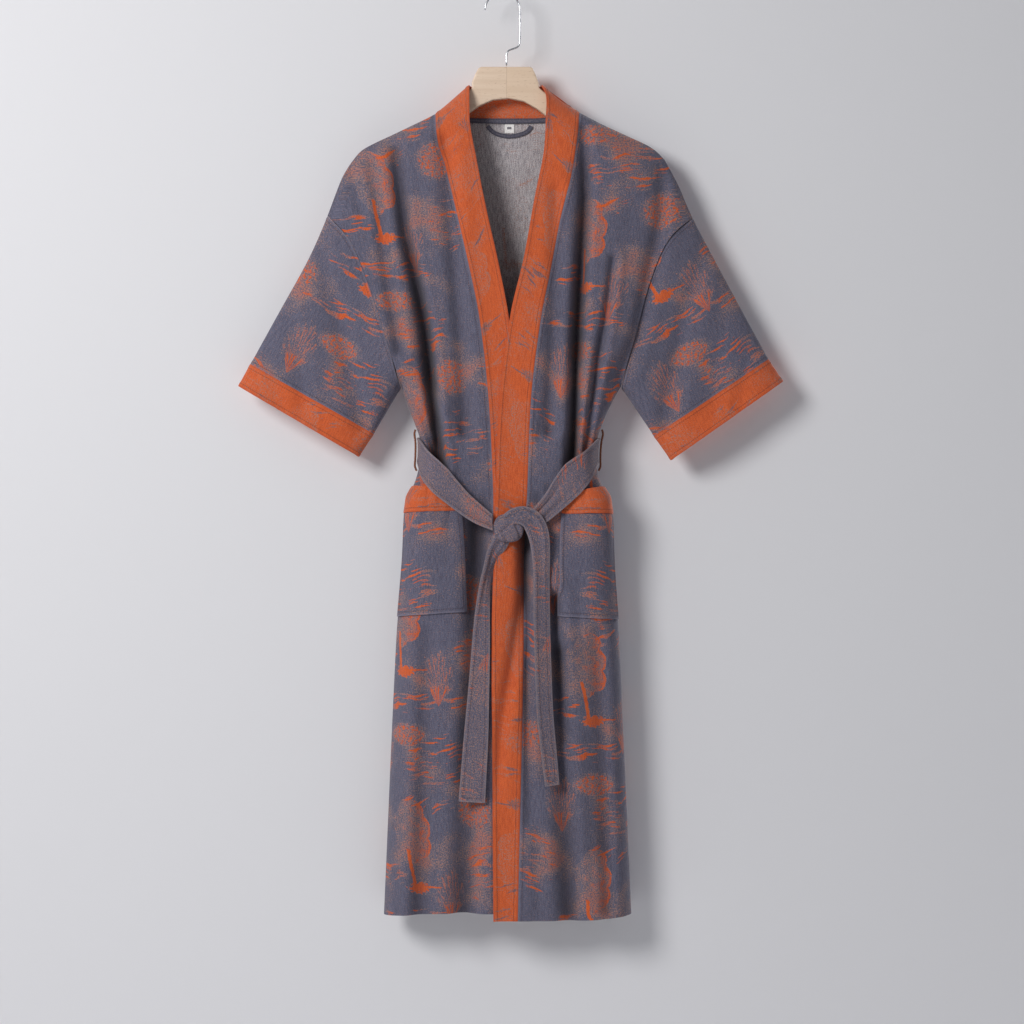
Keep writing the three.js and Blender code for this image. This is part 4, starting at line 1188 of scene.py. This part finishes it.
# %% Pockets
PATCH = 2.5
GAPE = 9
POCKET_LEAN = 0.75
POCKET_BAND = 35
POCKET_COLUMNS = 46
POCKET_ROWS = 44
POCKET_BAND_ROWS = 14
POCKET_PLACE = (30, 210)              # its corner in the repeat
POCKET_SHARES = [0.012, 0.05, 0.11, 0.19, 0.29, 0.41, 0.54]
POCKETS = {
    "right": {"outline": RIGHT, "lap": 0.0, "top": (-722, -718), "foot": (-907, -899),
              "inner": [(-63, -718), (-57, -800), (-53, -899)]},
    "left": {"outline": LEFT, "lap": LAP, "top": (-723, -723), "foot": (-911, -905),
             "inner": [(88, -723), (83, -780), (82, -905)]},
}


def on_front(outline, share, z, lap, folded=True):
    """Points of a front panel below the armpits."""
    seam_x = outline["seam_at"](z) - inward_of(outline) * SEAM / 2
    return raised(-1, np.stack([mix(outline["side_at"](z), seam_x, share), z], -1), lap, folded)


def pocket_grid(pocket, start, end, rows, wall):
    outline = pocket["outline"]
    c = np.linspace(0, 1, POCKET_COLUMNS)[None, :]
    level = np.linspace(start, end, rows)[:, None]
    z = mix(mix(*pocket["top"], c), mix(*pocket["foot"], c), level)
    side_x = outline["side_at"](z)
    inner = (reading(pocket["inner"])(z) - side_x) / (outline["seam_at"](z) - side_x)
    last = len(POCKET_SHARES)
    share = np.interp(c * last, range(last), POCKET_SHARES)
    past = np.clip(c * last - (last - 1), 0, 1)
    share = mix(share, inner, past)
    base = on_front(outline, share, z, pocket["lap"])
    gape = GAPE * np.sin(math.pi * c ** POCKET_LEAN) ** 2 * (1 - smooth(0, 0.8, level))
    return base + normals_of(base) * (PATCH + gape + (wall - CLOTH) / 2)[..., None]


def pocket_flat(grid):
    return np.stack([lengths(grid, 1) + POCKET_PLACE[0], POCKET_PLACE[1] - lengths(grid, 0)], -1) * MM


for side, pocket in POCKETS.items():
    height = pocket["top"][0] - pocket["foot"][0]
    top_share, gap = POCKET_BAND / height, SEAM / height
    grid = pocket_grid(pocket, top_share + gap, 1, POCKET_ROWS, CLOTH)
    cloth(f"pocket_{side}", grid, pocket_flat(grid), CLOTH, [toile_cotton, toile_inside],
          ["start", "end", "foot"], proud=0.9)
    grid = pocket_grid(pocket, 0, top_share, POCKET_BAND_ROWS, DOUBLE)
    cloth(f"pocket_band_{side}", grid, pocket_flat(grid), DOUBLE,
          [contrast_cotton, contrast_inside], ["foot"])

# %% [markdown]
# ## Belt
# The belt is one long doubled strip. It goes round the waist through two thread loops, lies over
# the pockets and is pulled to a knot in front. Its two halves crumple lengthwise near the knot, so
# soft pleats run along it and grow towards the middle. It is pulled tight, so it takes its points
# from the smooth form of the body and bridges the folds under it.

# %% Belt round the waist
BELT_WIDTH = 38
BELT_OUT = 3.6
BELT_PROUD = 12.2
WAIST = -665
BELT_ROWS = 80
BELT_COLUMNS = 19
BELT_BACK_ROWS = 90
BELT_TURN = 0.09                      # part of the half turn left out at each side seam
TOP_FOLD = {"at": 0.13, "wide": 0.035, "deep": 0.9}    # the crease along the belt's upper edge
BELT_HALVES = {
    "right": {"outline": RIGHT, "lap": 0.0, "more": LAP, "last": 0.985, "pleat": 1.5, "pleats": 1.2,
              "top": [(0, -646), (0.14, -662), (0.55, -711), (1, -761)],
              "foot": [(0, -684), (0.085, -700), (0.3, -727), (0.55, -751), (0.77, -770), (1, -783)]},
    "left": {"outline": LEFT, "lap": LAP, "more": 0.0, "last": 0.92, "pleat": 2.1, "pleats": 2.3,
             "top": [(0, -646), (0.19, -664), (0.52, -694), (0.92, -752)],
             "foot": [(0, -684), (0.21, -713), (0.37, -730), (0.72, -766), (0.92, -785)]},
}


def belt_half(half):
    """Points on the front and how far they move out, from the side seam to the knot."""
    share = half["last"] * spread(BELT_ROWS, 1.4)[:, None]
    t = np.linspace(0, 1, BELT_COLUMNS)[None, :]
    top = reading([(z, s) for s, z in half["top"]])(share)
    foot = reading([(z, s) for s, z in half["foot"]])(share)
    points = on_front(half["outline"], share, mix(top, foot, t), half["lap"], folded=False)
    out = mix(BELT_OUT, BELT_PROUD + half["more"], smooth(0, 0.25, share))
    growing = smooth(0.25, 1.0, share / half["last"])
    pleats = half["pleat"] * growing * (2 * np.abs(np.sin(math.pi * half["pleats"] * t + 0.8)) - 1.3)
    return points, out + pleats + 0 * t


right_points, right_out = belt_half(BELT_HALVES["right"])
left_points, left_out = belt_half(BELT_HALVES["left"])
share = (0.5 - 0.5 * np.cos(np.linspace(BELT_TURN, math.pi - BELT_TURN, BELT_BACK_ROWS)))[:, None]
t = np.linspace(0, 1, BELT_COLUMNS)[None, :]
z = mix(WAIST + BELT_WIDTH / 2, WAIST - BELT_WIDTH / 2, t) + 0 * share
behind = raised(1, np.stack([mix(RIGHT["side_at"](z), LEFT["side_at"](z), share), z], -1), folded=False)
base = np.concatenate([right_points[::-1], behind, left_points])
out = np.concatenate([right_out[::-1], BELT_OUT + 0 * behind[..., 0], left_out])
fold_line = TOP_FOLD["deep"] * np.exp(-((t - TOP_FOLD["at"]) / TOP_FOLD["wide"]) ** 2)
grid = base + normals_of(base) * (out - fold_line)[..., None]
flat = np.stack([lengths(grid, 1) + 90, lengths(grid, 0)[:, :1] + 0 * grid[..., 0]], -1) * MM
cloth("belt_waist", grid, flat, DOUBLE, [belt_cotton, belt_cotton],
      ["start", "end"], folded=False)

# %% [markdown]
# Each end of the belt hangs from the knot. A station gives the middle of the strip, its width as
# it shows, how far it stands off the front and how far its edges are turned. The left end comes
# out over the top of the knot and arches to the side before it drops.

# %% Belt ends
END_COLUMNS = 13
END_STEPS = 130
ENDS = {
    # across, up, width, off the front, turn of the edges
    "right": [(2, -786, 24, 8, 0), (-4, -800, 23, 7.5, 2), (-13, -814, 19, 7, 4), (-20, -834, 13, 9, 7),
              (-25.5, -860, 15, 8, 5), (-29, -900, 21, 6, 2), (-31, -950, 26, 5, 0),
              (-34, -1010, 30, 5, 0), (-38, -1080, 35, 5, 0), (-44, -1172, 38, 5, 0)],
    "left": [(6, -766, 16, 21, 0), (16, -761, 21, 23, 0), (29, -760, 26, 23, 0), (42, -767, 30, 20, 0),
             (51, -785, 30, 17, 0), (55, -812, 26, 12, 1), (56, -850, 23, 7.5, 3), (56.5, -911, 23, 7, 4),
             (58.5, -980, 23, 7, 4), (61.5, -1050, 23, 7, 4), (66.5, -1100, 22, 7, 4),
             (71.5, -1148, 20, 7, 4)],
}


def belt_end(side, stations):
    stations = np.array(stations, float)
    run = np.concatenate([[0], np.cumsum(np.linalg.norm(np.diff(stations[:, :2], axis=0), axis=1))])
    where = np.linspace(0, run[-1], END_STEPS)
    x, z, width, off, turn = (reading(list(zip(stations[:, k], run)))(where) for k in range(5))
    middle = np.stack([x, z], -1)
    t = np.linspace(-0.5, 0.5, END_COLUMNS)[None, :]
    flat = middle[:, None] + sideways_of(middle)[:, None] * (width[:, None] * t)[..., None]
    y = lift(-1, flat[..., 0], flat[..., 1], LAP, folded=False) - off[:, None] + 2 * (turn[:, None] * t)
    y = y + 0.9 * np.cos(4 * math.pi * t) * (1 - smooth(0, 0.5, where / run[-1]))[:, None]
    grid = np.stack([flat[..., 0], y, flat[..., 1]], -1)
    place_on = np.stack([lengths(grid, 1) + 30, lengths(grid, 0)[:, :1] + 0 * t], -1) * MM
    cloth(f"belt_end_{side}", grid, place_on, DOUBLE, [belt_cotton, belt_cotton],
          ["start", "end", "foot"], folded=False)


for side, stations in ENDS.items():
    belt_end(side, stations)

# %% [markdown]
# The knot is the same strip, wrapped over itself and pulled tight. It's a soft lump that is fuller
# below, with furrows where one turn lies over the next.

# %% Knot
KNOT = {"x": 9, "z": -778, "wide": 43, "tall": 41, "deep": 21, "off": 12.5}
FURROWS = [
    # line, width, depth
    ([(-14, -766), (0, -760), (16, -759), (30, -764)], 2.0, 3.0),
    ([(-10, -792), (4, -778), (16, -768), (26, -757)], 2.0, 2.8),
    ([(-12, -781), (-2, -786), (6, -796)], 2.0, 3.2),
    ([(27, -798), (25, -784), (20, -772)], 2.2, 3.0),
]
turn = np.linspace(0, 2 * math.pi, 97)[None, :]
rise = np.linspace(0.02, math.pi - 0.02, 60)[:, None]
squarish = lambda value: np.sign(value) * np.abs(value) ** 0.82
x = KNOT["x"] + KNOT["wide"] / 2 * np.sin(rise) ** 0.8 * squarish(np.cos(turn))
z = KNOT["z"] + KNOT["tall"] / 2 * squarish(np.cos(rise)) + 0 * turn
middle_y = float(lift(-1, np.array(KNOT["x"]), np.array(KNOT["z"]), LAP, folded=False)) - KNOT["off"]
y = middle_y + KNOT["deep"] / 2 * np.sin(rise) ** 0.8 * squarish(np.sin(turn))
grid = np.stack([x, y, z], -1)
centre = np.array([KNOT["x"], middle_y, KNOT["z"]])
furrow = sum(depth * np.exp(-(to_line(line, x, z)[0] / width) ** 2) for line, width, depth in FURROWS)
grid = grid - unit(grid - centre) * (furrow * (y < middle_y))[..., None]
knot = closed_piece("belt_knot_cloth", grid[:, :-1], belt_cotton)
corner = np.array([loop.vertex_index for loop in knot.data.loops])
spots = np.array([vertex.co for vertex in knot.data.vertices])[corner]
x, z = spots[:, 0], spots[:, 2]
add_map(knot, "Cloth", np.stack([x + z * 0.5, z - x * 0.5], -1))
for label, value in (("Stitch", 1), ("FoldShade", 0)):
    add_map(knot, label, np.full((len(corner), 2), value))
bpy.ops.object.shade_smooth()
hand_over(knot, "belt_knot")
print("knot:", len(knot.data.polygons), "faces")

# %% [markdown]
# ## Belt loops
# Two loops of twisted thread stand out from the side seams and hold the belt. A thread is a tube
# swept along a curve, and its twist is a slanted stripe in the finish.

# %% Thread loops
LOOP_THICK = 3.0
LOOP_PATH = [(3, 30), (7, 23), (7.7, 12), (7.7, -12), (7, -23), (3, -30)]
TUBE_SIDES = 14
TUBE_STEPS = 60


def thread_loop(side, outline):
    outward = -inward_of(outline)
    path = along(LOOP_PATH)(np.linspace(0, 1, TUBE_STEPS))
    z = WAIST + path[:, 1]
    centre = np.stack([outline["side_at"](z) + outward * path[:, 0], 0 * z, z], -1)
    sideways = np.array([0.0, 1.0, 0.0])
    upward = np.cross(unit(np.gradient(centre, axis=0)), sideways)
    turn = np.linspace(0, 2 * math.pi, TUBE_SIDES, endpoint=False)
    radius = LOOP_THICK / 2 * (1 + 0.06 * np.sin(np.arange(TUBE_STEPS)[:, None] * 1.1 + 3 * turn[None, :]))
    grid = (centre[:, None] + radius[..., None] * (np.cos(turn)[None, :, None] * sideways
                                                   + np.sin(turn)[None, :, None] * upward[:, None]))
    piece = closed_piece(f"belt_loop_{side}_thread", grid, loop_thread)
    bpy.ops.object.shade_smooth_by_angle(angle=math.radians(50))
    hand_over(piece, f"belt_loop_{side}")
    return piece


loops = [thread_loop(side, outline) for side, outline in (("right", RIGHT), ("left", LEFT))]
print("thread loops:", [len(piece.data.polygons) for piece in loops])

# %% [markdown]
# ## Inside the neck
# A plain tape covers the neck seam, a loop of the same tape hangs the robe up, and a small woven
# label sits between them. They lie just inside the back, so they take its form.

# %% Tape, loop and label
TAPE = [(-62, -183, -190), (-34, -184, -191), (7, -184, -192), (48, -184, -191), (76, -182, -190)]
TAPE_IN = 2.3
HANG_LOOP = [(-22, -195), (-15, -203), (-4, -208), (10, -210), (24, -208), (36, -203), (42, -195)]
HANG_LOOP_WIDE = 6
HANG_LOOP_IN = 2.6
LABEL = [(3, -192.5, -205), (17, -192.5, -205)]
LABEL_IN = 1.6
NECK_RISE = 5                         # the strips sit on the neck seam, a little up the band


def inside_back(flat, inset):
    return raised(1, flat + (0, NECK_RISE)) - (0, inset, 0)


def strip_rows(rows, count, columns):
    rows = np.array(rows, float)
    x = np.linspace(rows[0, 0], rows[-1, 0], count)
    top, foot = (np.interp(x, rows[:, 0], rows[:, k]) for k in (1, 2))
    t = np.linspace(0, 1, columns)[None, :]
    return np.stack([x[:, None] + 0 * t, mix(top[:, None], foot[:, None], t)], -1)


def map_flat(grid):
    return np.stack([lengths(grid, 0)[:, :1] + 0 * grid[..., 0], lengths(grid, 1)], -1) * MM


grid = inside_back(strip_rows(TAPE, 60, 7), TAPE_IN)
tape = cloth("neck_tape", grid, map_flat(grid), 1.0, [plain_tape], ["start", "end"],
             outward=False, proud=0.0)
middle_line = along(HANG_LOOP)(np.linspace(0, 1, 60))
t = np.linspace(0.5, -0.5, 7)[None, :, None]
across_line = sideways_of(middle_line)[:, None] * t * HANG_LOOP_WIDE
grid = inside_back(middle_line[:, None] + across_line, HANG_LOOP_IN)
hang_loop = cloth("neck_loop", grid, map_flat(grid), 1.2, [plain_tape], ["start", "end"],
                  outward=False, proud=0.3)
grid = inside_back(strip_rows(LABEL, 24, 22), LABEL_IN)
label = cloth("neck_label", grid, map_flat(grid), 0.6, [label_cloth], ["start", "end"],
              outward=False, proud=0.0)

# %% [markdown]
# ## Hanger
# The hanger is a flat beech board and a plated steel hook, both hard pieces whose shape is right in
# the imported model. Its mesh is loose triangles, though, and the wire has eight sides. So each is
# copied and merged, and then a Bevel softens the board and a Subdivision Surface rounds the wire.

# %% Hanger and hook
def copy_of(node, name):
    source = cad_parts[node]
    piece = source.copy()
    piece.data = source.data.copy()
    piece.name = name
    for key in list(piece.keys()):
        if key.startswith("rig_"):
            del piece[key]
    piece.parent = None
    pick(piece)
    bpy.ops.object.mode_set(mode="EDIT")
    bpy.ops.mesh.select_all(action="SELECT")
    bpy.ops.mesh.remove_doubles(threshold=0.00001)
    bpy.ops.mesh.dissolve_limited(angle_limit=math.radians(1))
    bpy.ops.object.mode_set(mode="OBJECT")
    return piece


def finish_hard(piece, modifier, smooth_below, material, node):
    bpy.ops.object.modifier_apply(modifier=modifier.name)
    bpy.ops.object.shade_smooth_by_angle(angle=math.radians(smooth_below))
    piece.data.materials.clear()
    piece.data.materials.append(material)
    hand_over(piece, node)
    print(piece.name, len(piece.data.polygons), "faces")


board = copy_of("hanger_board", "hanger_board_wood")
edge = board.modifiers.new("soft edge", "BEVEL")
edge.width = 0.0006
edge.segments = 2
edge.limit_method = "ANGLE"
edge.angle_limit = math.radians(20)
finish_hard(board, edge, 30, beech, "hanger_board")
hook = copy_of("hanger_hook", "hanger_hook_wire")
round_off = hook.modifiers.new("round", "SUBSURF")
round_off.levels = 1
round_off.render_levels = 1
finish_hard(hook, round_off, 50, hook_steel, "hanger_hook")

# %% [markdown]
# ## What each sheet was cut from
# Every cloth piece is declared as a sheet, with the size it was cut to. The sizes are the lengths
# and the area of its grid, since cotton like this doesn't stretch when it hangs.

# %% [markdown]
# ## Studio
# The robe hangs close in front of a plain pale wall, over a pale floor. One large soft lamp stands
# to the left in front, a little above, so the shadow falls close by on the right, and a pale
# surround fills in. The wall is clear from behind and casts no shadow, so that a second lamp behind
# it lights the back of the robe, which can be seen from there.

# %% Wall, floor and light
WALL_Y = 0.046
FLOOR_Z = -1.85
STUDIO_SIZE = 9.0


def stage_plane(name, location, turn, colour, see_through):
    material, tree, shader = start_material(name)
    shader.inputs["Base Color"].default_value = colour
    shader.inputs["Roughness"].default_value = 0.95
    shader.inputs["Specular IOR Level"].default_value = 0.0
    if see_through:
        geometry = tree.nodes.new("ShaderNodeNewGeometry")
        clear = tree.nodes.new("ShaderNodeBsdfTransparent")
        choose = tree.nodes.new("ShaderNodeMixShader")
        tree.links.new(geometry.outputs["Backfacing"], choose.inputs[0])
        tree.links.new(shader.outputs[0], choose.inputs[1])
        tree.links.new(clear.outputs[0], choose.inputs[2])
        tree.links.new(choose.outputs[0], tree.nodes["Material Output"].inputs[0])
    bpy.ops.object.select_all(action="DESELECT")
    bpy.ops.mesh.primitive_plane_add(size=STUDIO_SIZE, location=location, rotation=turn)
    plane = bpy.context.object
    plane.name = name
    plane.data.materials.append(material)
    return plane


PLASTER = paint(226, 226, 229)
wall = stage_plane("studio_wall", (0, WALL_Y, -0.75), (math.radians(90), 0, 0), PLASTER, True)
wall.visible_shadow = False
stage_plane("studio_floor", (0, 0, FLOOR_Z), (0, 0, 0), PLASTER, False)


def lamp(name, location, aim, size, power, colour):
    light = bpy.data.lights.new(name, "AREA")
    light.shape = "DISK"
    light.size = size
    light.energy = power
    light.color = colour
    holder = bpy.data.objects.new(name, light)
    bpy.context.scene.collection.objects.link(holder)
    holder.location = location
    holder.rotation_euler = (Vector(aim) - Vector(location)).to_track_quat("-Z", "Y").to_euler()


lamp("key", (-1.8, -2.5, 0.5), (-0.1, 0, -0.6), 1.2, 69, (1.0, 0.99, 0.98))
lamp("back_light", (1.6, 2.6, 0.6), (0, 0, -0.7), 2.0, 70, (1.0, 0.99, 0.98))
world = bpy.data.worlds.new("studio")
bpy.context.scene.world = world
world.use_nodes = True
world.node_tree.nodes["Background"].inputs["Color"].default_value = (0.86, 0.88, 0.92, 1)
world.node_tree.nodes["Background"].inputs["Strength"].default_value = 0.27
bpy.context.scene.view_settings.view_transform = "Standard"
print("studio ready")
